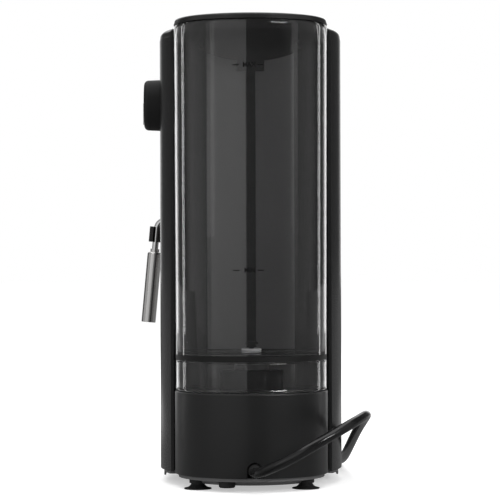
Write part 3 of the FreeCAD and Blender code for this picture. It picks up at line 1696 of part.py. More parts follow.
def filter_basket():
    """The thin steel basket that holds the coffee."""
    body = new_body("filter_basket")
    profile = new_sketch(body, "basket_profile", "XZ", at="GroupAhead")
    outer = "(BowlRadius - BowlWall - 0.3)"
    rim = f"({BOWL_TOP} + 0.2)"
    low = f"({rim} - BasketDeep)"
    outline(
        profile,
        [
            ("0", low),
            (f"{outer} - 4.4", low),
            (f"{outer} - 1.4", f"{low} + 3", "3"),
            (outer, f"{BOWL_TOP}"),
            ("BowlRadius - 0.4", BOWL_TOP),
            ("BowlRadius - 0.4", f"{BOWL_TOP} + 0.1"),
            (f"{outer} - BasketWall", f"{BOWL_TOP} + 0.1"),
            (f"{outer} - 1.4 - BasketWall", f"{low} + 3"),
            (f"{outer} - 4.4", f"{low} + BasketWall", "2.4", "right"),
            ("0", f"{low} + BasketWall"),
        ],
    )
    turned(body, profile)
    return body


def portafilter_spout():
    """The twin spout under the bowl."""
    body = new_body("portafilter_spout")
    low = f"({BOWL_TOP} - BowlDeep)"
    trunk = new_sketch(body, "spout_trunk", at=f"{low} - 5")
    ring(trunk, "0", "-GroupAhead", "7")
    pad(body, trunk, "5")
    branch = new_sketch(body, "spout_branch", "XZ", at="GroupAhead - 5")
    outline(
        branch,
        [
            ("-15", f"{low} - 15", "19"),
            ("-10", f"{low} - 15"),
            ("0", f"{low} - 9", "14", "right"),
            ("10", f"{low} - 15", "14", "right"),
            ("15", f"{low} - 15"),
            ("0", f"{low} - 3", "19"),
        ],
    )
    pad(body, branch, "10")
    return body


def portafilter_handle():
    """The grip: a turned handle that swells to a round end."""
    body = new_body("portafilter_handle")
    profile = new_sketch(body, "handle_profile", "YZ")
    line = "(GroupBottom - 11)"
    start = "(-GroupAhead - BowlRadius - 10)"
    end = f"(-{HANDLE_REACH})"
    outline(
        profile,
        [
            (start, line),
            (start, f"{line} + 8.4"),
            (f"{start} - 14", f"{line} + 8.6"),
            (f"{end} + 6", f"{line} + HandleRadius", "400", "right"),
            (end, f"{line} + HandleRadius - 6", "6"),
            (end, line),
        ],
    )
    axle = profile.addGeometry(
        Part.LineSegment(
            Vector(value(end), value(line), 0), Vector(0, value(line), 0)
        ),
        True,
    )
    fix_point(profile, axle, 1, end, line)
    fix_point(profile, axle, 2, "0", line)
    turned(body, profile, "Axis0")
    return body


# ---------------------------------------------------------------- works inside


def boiler():
    """The cast boiler, bolted on the group through the head's floor."""
    shell = solid(
        "Cylinder",
        "boiler_shell",
        Radius="BoilerRadius",
        Height="BoilerTall",
        spot=("0", "-GroupAhead", "HeadUnder + BodyWall"),
    )
    waist = solid(
        "Cylinder",
        "boiler_flange",
        Radius="BoilerRadius + 4",
        Height="5",
        spot=("0", "-GroupAhead", "HeadUnder + BodyWall + BoilerTall / 2"),
    )
    nipple = solid(
        "Cylinder",
        "boiler_inlet",
        Radius="HoseRadius - 0.6",
        Height="InletTall",
        spot=("0", "-GroupAhead", "HeadUnder + BodyWall + BoilerTall"),
    )
    return place(fused("boiler_casting", shell, waist, nipple), "boiler")


def pump():
    """The vibration pump: coil block, core tube and outlet."""
    block = solid(
        "Box",
        "pump_coil",
        Length="PumpHalf * 1.1",
        Width="PumpRadius * 2",
        Height="PumpRadius * 2",
        spot=(
            "-PumpHalf * 0.55",
            "-PumpAhead - PumpRadius",
            "PumpHeight - PumpRadius",
        ),
    )
    core = solid(
        "Cylinder",
        "pump_core",
        Radius="PumpRadius * 0.62",
        Height="PumpHalf * 2",
        spot=("-PumpHalf", "-PumpAhead", "PumpHeight"),
        turn=ALONG_X,
    )
    return place(fused("pump_body", block, core), "pump")


def pump_cradle():
    """The rubber block between the pump and the base plate."""
    block = solid(
        "Box",
        "cradle_block",
        Length="PumpHalf",
        Width="PumpRadius * 1.6",
        Height="PumpHeight - PumpRadius - BaseHeight",
        spot=("-PumpHalf / 2", "-PumpAhead - PumpRadius * 0.8", "BaseHeight"),
    )
    return place(block, "pump_cradle")


def control_board():
    """The control board on four posts behind the column's rear wall."""
    wall = "(BayDepth + BodyWall)"
    sheet = solid(
        "Box",
        "control_sheet",
        Length="BoardLong",
        Width="BoardThick",
        Height="BoardTall",
        spot=("-BoardLong / 2", f"-{wall} - PostLong - BoardThick", "BoardFoot"),
    )
    posts = [
        solid(
            "Cylinder",
            "control_post",
            Radius="PostRadius",
            Height="PostLong",
            spot=(f"{side}(BoardLong / 2 - 2 * PostRadius)", f"-{wall} - PostLong", up),
            turn=ALONG_Y,
        )
        for side in ("-", "")
        for up in ("BoardFoot + 2 * PostRadius", "BoardFoot + BoardTall - 2 * PostRadius")
    ]
    relay = solid(
        "Box",
        "control_relay",
        Length="RelayWide",
        Width="RelayDeep",
        Height="RelayTall",
        spot=(
            "-BoardLong / 2 + RelayDeep",
            f"-{wall} - PostLong - BoardThick - RelayDeep",
            "BoardFoot + RelayDeep",
        ),
    )
    return place(fused("control_unit", sheet, relay, *posts), "control_board")


# ---------------------------------------------------------------- cord, plug and hoses


def tube_route(points, named):
    """Straight runs joined by tangent arcs, each as large as its two runs allow."""
    spots = [Vector(*p) for p in points]
    edges, last, radii = [], spots[0], []
    for before, corner, after in zip(spots, spots[1:], spots[2:]):
        back, on = (before - corner), (after - corner)
        shorter = min(back.Length, on.Length)
        turn = math.pi - back.getAngle(on)
        reach = 0.45 * shorter
        radii.append(reach / math.tan(turn / 2))
        back.normalize()
        on.normalize()
        start, end = corner + back * reach, corner + on * reach
        bisector = (back + on).normalize()
        centre = corner + bisector * (radii[-1] / math.cos(turn / 2))
        middle = centre - bisector * radii[-1]
        edges.append(Part.LineSegment(last, start).toShape())
        edges.append(Part.Arc(start, middle, end).toShape())
        last = end
    edges.append(Part.LineSegment(last, spots[-1]).toShape())
    wire = Part.Wire(edges)
    print(named, "length", round(wire.Length, 1), "radii", [round(r) for r in radii])
    return wire


def tube(name, points, radius):
    """A round tube along a route, as a sub-part of its own."""
    wire = tube_route(points, name)
    first = wire.Edges[0]
    direction = first.tangentAt(first.FirstParameter)
    start = first.valueAt(first.FirstParameter)
    section = Part.Wire([Part.Circle(start, direction, radius).toShape()])
    shape = wire.makePipeShell([section], True, False)
    expected = math.pi * radius**2 * wire.Length
    print(name, "volume share", round(shape.Volume / expected, 4))
    made = doc.addObject("Part::Feature", name)
    made.Shape = shape
    return place(made, name)


CORD_POINTS = [
    (-2, 62, 15.6),
    (-3, 76, 16.4),
    (-11, 90, 20.4),
    (-26, 97, 27.9),
    (-44, 97, 38.4),
    (-62, 88, 47.9),
    (-76, 68, 53.9),
    (-83, 40, 55.4),
    (-83.4, 5, 50),
    (-80, -34, 38),
    (-76.5, -76, 22.5),
    (-74, -118, 9.4),
    (-72.2, -160, 3.8),
    (-71.6, -204, 3.7),
    (-71.2, -250, 3.75),
    (-71.8, -296, 3.7),
    (-71.2, -338, 3.75),
    (-71.5, -370, 3.7),
]


def power_cord():
    """The cord from the strain relief, up in its arch and down beside the machine."""
    return tube("power_cord", CORD_POINTS, value("CordRadius"))


def cord_coil():
    """The outer shape of the coil of spare cord on the table."""
    body = new_body("cord_coil")
    profile = new_sketch(body, "coil_profile", "XZ", at="CoilAhead")
    middle = "CoilAcross"
    wide = "(CordRadius * 2.1)"
    tall = "(CordRadius * 4.1)"
    inner = f"({middle} + CoilRadius - {wide})"
    outer = f"({middle} + CoilRadius + {wide})"
    soft = "(CordRadius * 0.8)"
    outline(
        profile,
        [
            (f"{inner} + {soft}", "0"),
            (f"{outer} - {soft}", "0"),
            (outer, soft, soft),
            (outer, f"{tall} - {soft}"),
            (f"{outer} - {soft}", tall, soft),
            (f"{inner} + {soft}", tall),
            (inner, f"{tall} - {soft}", soft),
            (inner, soft),
        ],
    )
    line = profile.addGeometry(
        Part.LineSegment(Vector(value(middle), 0, 0), Vector(value(middle), 40, 0)), True
    )
    fix_point(profile, line, 1, middle, "0")
    fix_point(profile, line, 2, middle, "BaseHeight")
    turned(body, profile, "Axis0")
    return body


def plug():
    """The moulded earthed plug on the cord's end, lying beside the coil."""
    body = new_body("plug")
    profile = new_sketch(body, "plug_profile", "XZ", at="CoilAhead + CoilRadius + 2")
    line = "PlugRadius"
    start = "(CoilAcross + 22)"
    outline(
        profile,
        [
            (start, line),
            (f"{start} + PlugLong", line),
            (f"{start} + PlugLong", f"{line} + PlugRadius"),
            (f"{start} + PlugLong - 10", f"{line} + PlugRadius"),
            (f"{start} + PlugLong - 14", f"{line} + PlugRadius - 3"),
            (f"{start} + PlugLong - 26", f"{line} + 9", "26", "right"),
            (start, f"{line} + CordRadius + 0.8"),
        ],
    )
    axle = profile.addGeometry(
        Part.LineSegment(
            Vector(value(start), value(line), 0),
            Vector(value(f"{start} + PlugLong"), value(line), 0),
        ),
        True,
    )
    fix_point(profile, axle, 1, start, line)
    fix_point(profile, axle, 2, f"{start} + PlugLong", line)
    turned(body, profile, "Axis0")
    pins = new_sketch(body, "plug_pins", "YZ", at=f"{start} + PlugLong")
    for side in ("-", ""):
        ring(pins, f"-CoilAhead - CoilRadius - 2 {'+' if side else '-'} 9.5", line, "2.4")
    pad(body, pins, "19")
    return body


def strain_relief():
    """The tapered boot that carries the cord out of the rear base."""
    body = new_body("strain_relief")
    profile = new_sketch(body, "boot_profile", "YZ", at="-NotchAcross")
    line = "CordHeight"
    outline(
        profile,
        [
            ("BootStart", line),
            ("BootEnd", line),
            ("BootEnd", f"{line} + CordRadius + 0.5"),
            ("BootStart + 10", f"{line} + CordRadius + 1.3"),
            ("BootStart + 6", f"{line} + CordRadius + 1.3"),
            ("BootStart + 6", f"{line} + CordRadius + 1.9"),
            ("BootStart", f"{line} + CordRadius + 1.9"),
        ],
    )
    axle = profile.addGeometry(
        Part.LineSegment(
            Vector(0, value(line), 0), Vector(value("BootEnd"), value(line), 0)
        ),
        True,
    )
    fix_point(profile, axle, 1, "0", line)
    fix_point(profile, axle, 2, "BootEnd", line)
    turned(body, profile, "Axis0")
    return body


def suction_hose():
    """The hose from the tank socket through the column's wall to the pump."""
    height = value("HoseHeight")
    points = [
        (0, value("ValveBack"), value("RearTop - RearWall - 10")),
        (0, value("ValveBack - 2"), height),
        (0, -value("BayDepth + BodyWall") - 21, height),
        (-value("PumpHalf") - 8, -value("PumpAhead") + 20, height + 2),
        (-value("PumpHalf") - 12, -value("PumpAhead"), value("PumpHeight") - 4),
        (-value("PumpHalf"), -value("PumpAhead"), value("PumpHeight")),
    ]
    return tube("suction_hose", points, value("HoseRadius"))


def pressure_hose():
    """The hose from the pump's outlet up to the boiler."""
    side, ahead, over = value("PumpHalf"), -value("PumpAhead"), value("GroupAhead")
    out, rise = value("HoseOut"), value("HoseRise")
    inlet = value("HeadUnder + BodyWall + BoilerTall + InletTall")
    points = [
        (side, ahead, value("PumpHeight")),
        (side + out, ahead, value("PumpHeight") + out / 2),
        (side + out, ahead, value("HeadUnder")),
        (side - out / 2, ahead - rise, inlet + rise / 2),
        (0, out / 2 - over, inlet + rise),
        (0, -over, inlet),
    ]
    return tube("pressure_hose", points, value("HoseRadius"))


# ---------------------------------------------------------------- assembly

housing()
top_cover()
cup_plate()
front_fascia()
for button, step in (("button_left", -1), ("button_middle", 0), ("button_right", 1)):
    push_button(button, step)
button_board()
pilot_lamp()
back_panel()
panel_screws()
tank_rail()
rear_base()
tank_socket()
tank()
tank_lid()
valve_body()
valve_plunger()
valve_spring()
base_plate()
bottom_pan()
for end, along in (("rear", "RearFeetBack"), ("front", "-FrontFeetAhead")):
    foot(f"foot_{end}_left", "-FootAcross", along)
    foot(f"foot_{end}_right", "FootAcross", along)
rear_peg()
splash_plate()
drip_tray()
drip_grid()
tray_float()
steam_knob()
knob_pointer()
valve_stem()
steam_valve()
wand_joint()
wand_tube()
wand_sleeve()
wand_nozzle()
wand_grip()
steam_pipe()
group_head()
group_collar()
group_gasket()
shower_screen()
screen_screw()
portafilter()
filter_basket()
portafilter_spout()
portafilter_handle()
boiler()
pump()
pump_cradle()
control_board()
strain_relief()
power_cord()
cord_coil()
plug()
suction_hose()
pressure_hose()

doc.recompute()
for thing in doc.Objects:
    if {"Invalid", "Error"} & set(thing.State):
        raise RuntimeError(f"{thing.Label} failed: {thing.State}")
os.makedirs("parts", exist_ok=True)
for node in nodes:
    if node.Shape.isNull() or not node.Shape.isValid():
        raise RuntimeError(f"{node.Label} has no valid shape")
for node in nodes:
    node.Shape.exportStep(os.path.join("parts", node.Label + ".step"))
print(len(nodes), "sub-parts")
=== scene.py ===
import math
import bmesh
import bpy
from mathutils import Matrix, Vector


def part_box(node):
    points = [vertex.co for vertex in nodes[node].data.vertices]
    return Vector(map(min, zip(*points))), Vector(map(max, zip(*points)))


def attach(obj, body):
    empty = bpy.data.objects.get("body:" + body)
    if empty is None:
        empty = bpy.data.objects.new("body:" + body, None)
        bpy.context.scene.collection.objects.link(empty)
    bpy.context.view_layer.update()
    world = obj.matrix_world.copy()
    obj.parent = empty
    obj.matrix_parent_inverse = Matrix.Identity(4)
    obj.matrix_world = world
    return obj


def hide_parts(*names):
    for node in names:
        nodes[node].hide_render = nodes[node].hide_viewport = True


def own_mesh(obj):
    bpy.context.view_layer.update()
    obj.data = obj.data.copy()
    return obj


# The mirror plane and the tank's widest line come from its pieces, because every
# later piece is placed from them.

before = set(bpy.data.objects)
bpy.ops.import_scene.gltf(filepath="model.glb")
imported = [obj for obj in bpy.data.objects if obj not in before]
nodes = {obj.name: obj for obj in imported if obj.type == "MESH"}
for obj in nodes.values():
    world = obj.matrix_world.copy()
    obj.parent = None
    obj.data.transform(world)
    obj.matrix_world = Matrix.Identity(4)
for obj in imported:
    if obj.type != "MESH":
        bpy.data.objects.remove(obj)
scene = bpy.context.scene
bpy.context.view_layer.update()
FEET_BEHIND = 0.010  # from the tank's widest line back to the rear feet
MIRROR = (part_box("tank")[0].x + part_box("tank")[1].x) / 2
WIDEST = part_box("foot_rear_left")[0].y - FEET_BEHIND


def spot(x, y, z):
    """A point given in millimetres about the mirror plane and the tank's widest line."""
    return Vector((MIRROR + x / 1000, WIDEST + y / 1000, z / 1000))


# ---------------------------------------------------------------- camera
# A long lens behind the machine, at about half of its height, so the rear reads
# almost in elevation. The slight turn and lean belong to the framing.

SENSOR_WIDTH = 36.0
LENS_TO_SENSOR = 4.2138
camera_data = bpy.data.cameras.new("view_camera")
camera_data.sensor_width = SENSOR_WIDTH
camera_data.lens = SENSOR_WIDTH * LENS_TO_SENSOR
camera_data.clip_start = 0.05
camera = bpy.data.objects.new("view_camera", camera_data)
scene.collection.objects.link(camera)
yaw, pitch, roll = math.radians(0.337), math.radians(0.340), math.radians(-0.174)
ahead = Vector((-math.sin(yaw), -math.cos(yaw), math.tan(pitch)))
aim = ahead.to_track_quat("-Z", "Y").to_matrix().to_4x4()
aim = aim @ Matrix.Rotation(roll, 4, "Z")
aim.translation = spot(9.9, 1558.7, 164.9)
camera.matrix_world = aim
scene.camera = camera

# ---------------------------------------------------------------- mains lead
# A round two-core cable in an extruded glossy sheath, held in the base's rear notch by
# a soft strain relief and ending in a moulded two-pin plug. It rises in one stiff arch,
# runs down along the flank, and its spare length lies wound in a coil with the plug.


def material(name, colour, roughness, metallic=0.0):
    """A principled material; returns it, its node tree and its shader."""
    made = bpy.data.materials.new(name)
    made.use_nodes = True
    shader = made.node_tree.nodes["Principled BSDF"]
    shader.inputs["Base Color"].default_value = (*colour, 1)
    shader.inputs["Roughness"].default_value = roughness
    shader.inputs["Metallic"].default_value = metallic
    return made, made.node_tree, shader


def worn_bump(tree, shader, height, strength, distance, edge_radius):
    """Adds a fine relief from a node's factor, over slightly rounded edges."""
    bump = tree.nodes.new("ShaderNodeBump")
    bump.inputs["Strength"].default_value = strength
    bump.inputs["Distance"].default_value = distance
    edge = tree.nodes.new("ShaderNodeBevel")
    edge.samples = 4
    edge.inputs["Radius"].default_value = edge_radius
    tree.links.new(edge.outputs["Normal"], bump.inputs["Normal"])
    tree.links.new(height.outputs["Fac"], bump.inputs["Height"])
    tree.links.new(bump.outputs["Normal"], shader.inputs["Normal"])


def mixed_tone(tree, shader, factor, tone):
    """Lets the base colour wander between two tones with a node's factor."""
    mix = tree.nodes.new("ShaderNodeMix")
    mix.data_type = "RGBA"
    mix.inputs[6].default_value = (*tone[0], 1)
    mix.inputs[7].default_value = (*tone[1], 1)
    tree.links.new(factor.outputs["Fac"], mix.inputs[0])
    tree.links.new(mix.outputs[2], shader.inputs["Base Color"])


def grain(tree, shader, scale, strength, rough_low, rough_high, tone=None):
    """Adds moulded grain: a fine bump, uneven roughness and a slight change of tone."""
    place = tree.nodes.new("ShaderNodeTexCoord")
    fine = tree.nodes.new("ShaderNodeTexNoise")
    fine.inputs["Scale"].default_value = scale
    fine.inputs["Detail"].default_value = 3
    tree.links.new(place.outputs["Object"], fine.inputs["Vector"])
    worn_bump(tree, shader, fine, strength, 0.0002, 0.0005)
    broad = tree.nodes.new("ShaderNodeTexNoise")
    broad.inputs["Scale"].default_value = 22
    broad.inputs["Detail"].default_value = 4
    tree.links.new(place.outputs["Object"], broad.inputs["Vector"])
    sheen = tree.nodes.new("ShaderNodeMapRange")
    sheen.inputs["To Min"].default_value = rough_low
    sheen.inputs["To Max"].default_value = rough_high
    tree.links.new(broad.outputs["Fac"], sheen.inputs["Value"])
    tree.links.new(sheen.outputs["Result"], shader.inputs["Roughness"])
    if tone:
        mixed_tone(tree, shader, broad, tone)


def finish(made, *names):
    """Gives the named pieces of the frame one material."""
    for name in names:
        slots = nodes[name].data.materials
        slots.clear()
        slots.append(made)


CORD_RADIUS = 3.6
ON_FLOOR = 3.7
route = [
    (-2, 62, 15.6),
    (-3, 76, 16.4),
    (-11, 90, 20.4),
    (-26, 97, 27.9),
    (-44, 97, 38.4),
    (-62, 88, 47.9),
    (-76, 68, 53.9),
    (-83, 40, 55.4),
    (-83.4, 5, 50),
    (-80, -34, 38),
    (-76.5, -76, 22.5),
    (-74, -118, 9.4),
    (-72.2, -160, 3.8),
    (-71.6, -204, 3.7),
    (-71.2, -250, 3.75),
    (-71.8, -296, 3.7),
    (-71.2, -338, 3.75),
]
COIL_STEPS = 16  # points in each of the coil's two turns
COIL_REACH = 43.4
COIL_NARROWS = 7.2  # the second turn lies inside the first
STEP_IN_EARLY, STEP_IN_OVER = 3, 5  # points over which the cord moves inwards
coil_low, coil_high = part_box("cord_coil")
coil_middle = (coil_low + coil_high) / 2
middle_x = (coil_middle.x - MIRROR) * 1000
middle_y = (coil_middle.y - WIDEST) * 1000


def on_coil(turn, reach, height):
    """A point at an angle and distance from the coil's middle."""
    return middle_x + reach * math.cos(turn), middle_y + reach * math.sin(turn), height


for step in range(1, 2 * COIL_STEPS + 1):
    turn = math.pi + step * 2 * math.pi / COIL_STEPS
    second = min(max((step - COIL_STEPS + STEP_IN_EARLY) / STEP_IN_OVER, 0), 1)
    lift = 0.2 if step % 2 else 0
    route.append(on_coil(turn, COIL_REACH - COIL_NARROWS * second, ON_FLOOR + lift))
TAIL = (
    # the last stretch: angle round the coil in degrees, distance and height in mm
    (200, 36.2, 6.0),
    (222, 38.0, 10.9),
    (246, 41.4, 11.6),
)
for degrees, reach, height in TAIL:
    route.append(on_coil(math.radians(degrees), reach, height))
plug_low, plug_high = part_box("plug")
plug_axis = (plug_low + plug_high) / 2
plug_x = (plug_low.x - MIRROR) * 1000
plug_y = (plug_axis.y - WIDEST) * 1000
plug_z = plug_axis.z * 1000
route += [(plug_x - 10, plug_y - 0.3, plug_z - 1.5), (plug_x + 1, plug_y, plug_z)]

curve = bpy.data.curves.new("mains_cord", "CURVE")
curve.dimensions = "3D"
curve.bevel_depth = 1.0
curve.bevel_resolution = 8
curve.use_fill_caps = True
line = curve.splines.new("NURBS")
line.points.add(len(route) - 1)
for point, place in zip(line.points, route):
    point.co = (*spot(*place), 1.0)
    point.radius = CORD_RADIUS / 1000
line.order_u = 3
line.use_endpoint_u = True
line.resolution_u = 8
mains_cord = bpy.data.objects.new("mains_cord", curve)
scene.collection.objects.link(mains_cord)
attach(mains_cord, "machine")
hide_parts("power_cord", "cord_coil")

cord_black, tree, shader = material("cord_black", (0.005, 0.005, 0.0052), 0.16)
grain(tree, shader, 700, 0.03, 0.12, 0.2)
soft_black, tree, shader = material("soft_black", (0.01, 0.01, 0.01), 0.6)
grain(tree, shader, 1200, 0.2, 0.55, 0.72)
curve.materials.append(cord_black)
finish(cord_black, "power_cord", "cord_coil", "plug")
finish(soft_black, "strain_relief")

# ---------------------------------------------------------------- casing
# The housing, its top cover and the rear base are injection mouldings in satin black
# with a fine spark-eroded grain; the cover clips on over a rim, and the base screws on
# behind. The front, splash and cup plates are brushed stainless sheet, laid in recesses.


def brushed(tree, shader, stretch, rough_low, rough_high, tone):
    """Adds brushing: streaks of roughness, tone and a very fine relief."""
    place = tree.nodes.new("ShaderNodeTexCoord")
    pull = tree.nodes.new("ShaderNodeMapping")
    pull.inputs["Scale"].default_value = stretch
    tree.links.new(place.outputs["Object"], pull.inputs["Vector"])
    streaks = tree.nodes.new("ShaderNodeTexNoise")
    streaks.inputs["Scale"].default_value = 1.0
    streaks.inputs["Detail"].default_value = 4
    tree.links.new(pull.outputs["Vector"], streaks.inputs["Vector"])
    sheen = tree.nodes.new("ShaderNodeMapRange")
    sheen.inputs["From Min"].default_value = 0.3
    sheen.inputs["From Max"].default_value = 0.7
    sheen.inputs["To Min"].default_value = rough_low
    sheen.inputs["To Max"].default_value = rough_high
    tree.links.new(streaks.outputs["Fac"], sheen.inputs["Value"])
    tree.links.new(sheen.outputs["Result"], shader.inputs["Roughness"])
    mixed_tone(tree, shader, streaks, tone)
    worn_bump(tree, shader, streaks, 0.06, 0.0001, 0.0004)


black_satin, tree, shader = material("black_satin", (0.007, 0.007, 0.0073), 0.36)
SATIN_TONES = ((0.006, 0.006, 0.0062), (0.009, 0.009, 0.0093))
grain(tree, shader, 2600, 0.03, 0.18, 0.25, SATIN_TONES)
base_black, tree, shader = material("base_black", (0.005, 0.005, 0.0052), 0.35)
BASE_TONES = ((0.004, 0.004, 0.0042), (0.006, 0.006, 0.0062))
grain(tree, shader, 2200, 0.08, 0.3, 0.38, BASE_TONES)
STEEL_TONES = ((0.5, 0.49, 0.48), (0.7, 0.69, 0.68))
upright_steel, tree, shader = material("upright_steel", (0.6, 0.59, 0.58), 0.26, 1.0)
brushed(tree, shader, (6, 6, 900), 0.2, 0.34, STEEL_TONES)
flat_steel, tree, shader = material("flat_steel", (0.6, 0.59, 0.58), 0.26, 1.0)
brushed(tree, shader, (6, 900, 6), 0.22, 0.36, STEEL_TONES)
finish(black_satin, "housing", "top_cover")
finish(base_black, "rear_base")
finish(upright_steel, "front_fascia", "splash_plate")
finish(flat_steel, "cup_plate")

# ---------------------------------------------------------------- underside and feet
# The base plate and the pan that closes it are dark grey mouldings, screwed up into
# the housing. Four turned rubber feet and the rear peg are pushed into their sockets.

dark_grey, tree, shader = material("dark_grey", (0.1, 0.1, 0.101), 0.45)
GREY_TONES = ((0.09, 0.09, 0.091), (0.11, 0.11, 0.111))
grain(tree, shader, 1800, 0.15, 0.4, 0.52, GREY_TONES)
finish(dark_grey, "base_plate", "bottom_pan")
finish(soft_black, "foot_rear_left", "foot_rear_right")
finish(soft_black, "foot_front_left", "foot_front_right", "rear_peg")

# ---------------------------------------------------------------- works
# A cast boiler, a pump in a rubber cradle, a turned brass steam valve with its steel
# pipe, two clear silicone hoses pushed on their spigots, and a printed control board.

cast_aluminium, tree, shader = material("cast_aluminium", (0.55, 0.55, 0.56), 0.45, 1.0)
grain(tree, shader, 500, 0.3, 0.38, 0.55)
valve_brass, tree, shader = material("valve_brass", (0.72, 0.5, 0.22), 0.3, 1.0)
grain(tree, shader, 700, 0.05, 0.25, 0.36)
steel, tree, shader = material("steel", (0.6, 0.59, 0.58), 0.24, 1.0)
grain(tree, shader, 900, 0.02, 0.22, 0.27)
hose_clear, tree, shader = material("hose_clear", (0.7, 0.7, 0.68), 0.35)
shader.inputs["Transmission Weight"].default_value = 0.6
grain(tree, shader, 600, 0.06, 0.3, 0.42, ((0.66, 0.66, 0.63), (0.74, 0.74, 0.72)))
board_green, tree, shader = material("board_green", (0.02, 0.12, 0.05), 0.4)
grain(tree, shader, 300, 0.05, 0.3, 0.45)
finish(cast_aluminium, "boiler")
finish(dark_grey, "pump")
finish(soft_black, "pump_cradle")
finish(valve_brass, "steam_valve")
finish(steel, "steam_pipe")
finish(hose_clear, "suction_hose", "pressure_hose")
finish(board_green, "control_board")

# ---------------------------------------------------------------- brewing group
# The head is cast and carries a rubber gasket and a pressed steel shower screen on one
# screw, with a black collar round it. The filter holder is chromed brass with a steel
# basket, a twin spout and a moulded handle, and locks in the head by a short turn.

chrome, tree, shader = material("chrome", (0.78, 0.78, 0.78), 0.06, 1.0)
grain(tree, shader, 500, 0.01, 0.04, 0.1, ((0.74, 0.74, 0.74), (0.82, 0.82, 0.82)))
finish(cast_aluminium, "group_head")
finish(black_satin, "group_collar", "portafilter_handle")
finish(soft_black, "group_gasket")
finish(steel, "shower_screen", "screen_screw", "filter_basket")
finish(chrome, "portafilter", "portafilter_spout")

# ---------------------------------------------------------------- controls
# Three glossy push buttons over their board, with a small orange pilot lamp ahead of
# them. The steam knob is a grained moulding with a printed pointer, pushed on the
# valve's brass stem.

black_gloss, tree, shader = material("black_gloss", (0.008, 0.008, 0.0085), 0.12)
grain(tree, shader, 300, 0.02, 0.09, 0.16)
lamp_lens, tree, shader = material("lamp_lens", (0.75, 0.25, 0.05), 0.15)
shader.inputs["Transmission Weight"].default_value = 0.5
grain(tree, shader, 900, 0.05, 0.12, 0.22, ((0.7, 0.22, 0.04), (0.8, 0.28, 0.06)))
knob_black, tree, shader = material("knob_black", (0.009, 0.009, 0.0092), 0.55)
shader.inputs["Specular IOR Level"].default_value = 0.2
KNOB_TONES = ((0.008, 0.008, 0.0082), (0.011, 0.011, 0.0113))
grain(tree, shader, 1600, 0.2, 0.5, 0.62, KNOB_TONES)
silver_print, tree, shader = material("silver_print", (0.62, 0.62, 0.62), 0.35, 0.6)
grain(tree, shader, 900, 0.03, 0.3, 0.4)
finish(black_gloss, "button_left", "button_middle", "button_right")
finish(board_green, "button_board")
finish(lamp_lens, "pilot_lamp")
finish(knob_black, "steam_knob")
finish(silver_print, "knob_pointer")
finish(valve_brass, "valve_stem")

# ---------------------------------------------------------------- steam wand
# A bent chromed tube on a black swivel joint, with a rubber grip pushed on its bend.
# A brushed steel sleeve slides over its lower half, down to the turned nozzle.

sleeve_steel, tree, shader = material("sleeve_steel", (0.7, 0.69, 0.68), 0.18, 1.0)
SLEEVE_TONES = ((0.64, 0.63, 0.62), (0.8, 0.79, 0.78))
brushed(tree, shader, (500, 500, 8), 0.14, 0.22, SLEEVE_TONES)
finish(black_satin, "wand_joint")
finish(chrome, "wand_tube", "wand_nozzle")
finish(sleeve_steel, "wand_sleeve")
finish(soft_black, "wand_grip")

# ---------------------------------------------------------------- back
# A dark grey panel seen through the tank, held by two dark screws, with a black rail
# that hooks the tank's top and a socket moulding that takes its valve.

dark_screw, tree, shader = material("dark_screw", (0.03, 0.03, 0.03), 0.35, 0.5)
SCREW_TONES = ((0.025, 0.025, 0.025), (0.038, 0.038, 0.038))
grain(tree, shader, 1200, 0.06, 0.28, 0.42, SCREW_TONES)
finish(dark_grey, "back_panel")
finish(dark_screw, "panel_screws")
finish(black_satin, "tank_rail")
finish(knob_black, "tank_socket")

# ---------------------------------------------------------------- drip tray
# A deep black moulding that slides in under the group, with a punched and brushed
# steel grid laid on its rim and a pale float that rises through it.

finish(black_satin, "drip_tray")
finish(flat_steel, "drip_grid")
finish(silver_print, "tray_float")

# ---------------------------------------------------------------- tank
# One clear moulding: thin walls with a slight draft, a rounded and leaning rim, soft
# corners, a flared foot, and a recessed floor with the valve's hole. Round it at the floor
# runs a band of painted shade: a shallow recess painted near-black, where the floor seen
# edge-on through the wall looks dark. It stands on the socket and hooks on the rail.


# The back is one wide arc, struck from a point ahead of the widest line, between two
# tighter arcs that are struck on that line, a little out from the middle.
ARC_OUT, ARC_AHEAD = 7.5, 10.0
ARC_GAIN = math.hypot(ARC_OUT, ARC_AHEAD) - ARC_OUT


def tank_plan(half, front, corner):
    """The tank's outline in plan as points in mm, from its front middle round the back."""
    back_radius = half + ARC_GAIN
    split = math.atan2(ARC_OUT, ARC_AHEAD)
    points = [(half * share / 4, -front) for share in range(3)]
    for step in range(9):
        turn = math.radians(-90 + 90 * step / 8)
        points.append(
            (
                half - corner + corner * math.cos(turn),
                corner - front + corner * math.sin(turn),
            )
        )
    for step in range(1, 3):
        points.append((half, (corner - front) * (1 - step / 3)))
    for step in range(25):
        turn = (math.pi / 2 - split) * step / 24
        radius = half - ARC_OUT
        points.append((ARC_OUT + radius * math.cos(turn), radius * math.sin(turn)))
    for step in range(1, 9):
        turn = math.pi / 2 - split + split * step / 8
        back = back_radius * math.sin(turn) - ARC_AHEAD
        points.append((back_radius * math.cos(turn), back))
    mirrored = [(-x, y) for x, y in reversed(points[1:-1])]
    return points + mirrored


def skin(mesh, loops):
    """Joins each closed loop of points to the next by a band of faces; returns the bands."""
    bands = []
    for lower, upper in zip(loops, loops[1:]):
        band = []
        for index in range(len(lower)):
            on = (index + 1) % len(lower)
            corners = (lower[index], lower[on], upper[on], upper[index])
            band.append(mesh.faces.new(corners))
        bands.append(band)
    return bands


def bridge(mesh, rim, hole):
    """Fills the flat ring between two closed loops of unlike numbers of points."""
    edges = [mesh.edges.get(pair) for pair in zip(rim, rim[1:] + rim[:1])]
    edges += [mesh.edges.get(pair) for pair in zip(hole, hole[1:] + hole[:1])]
    bmesh.ops.bridge_loops(mesh, edges=edges)


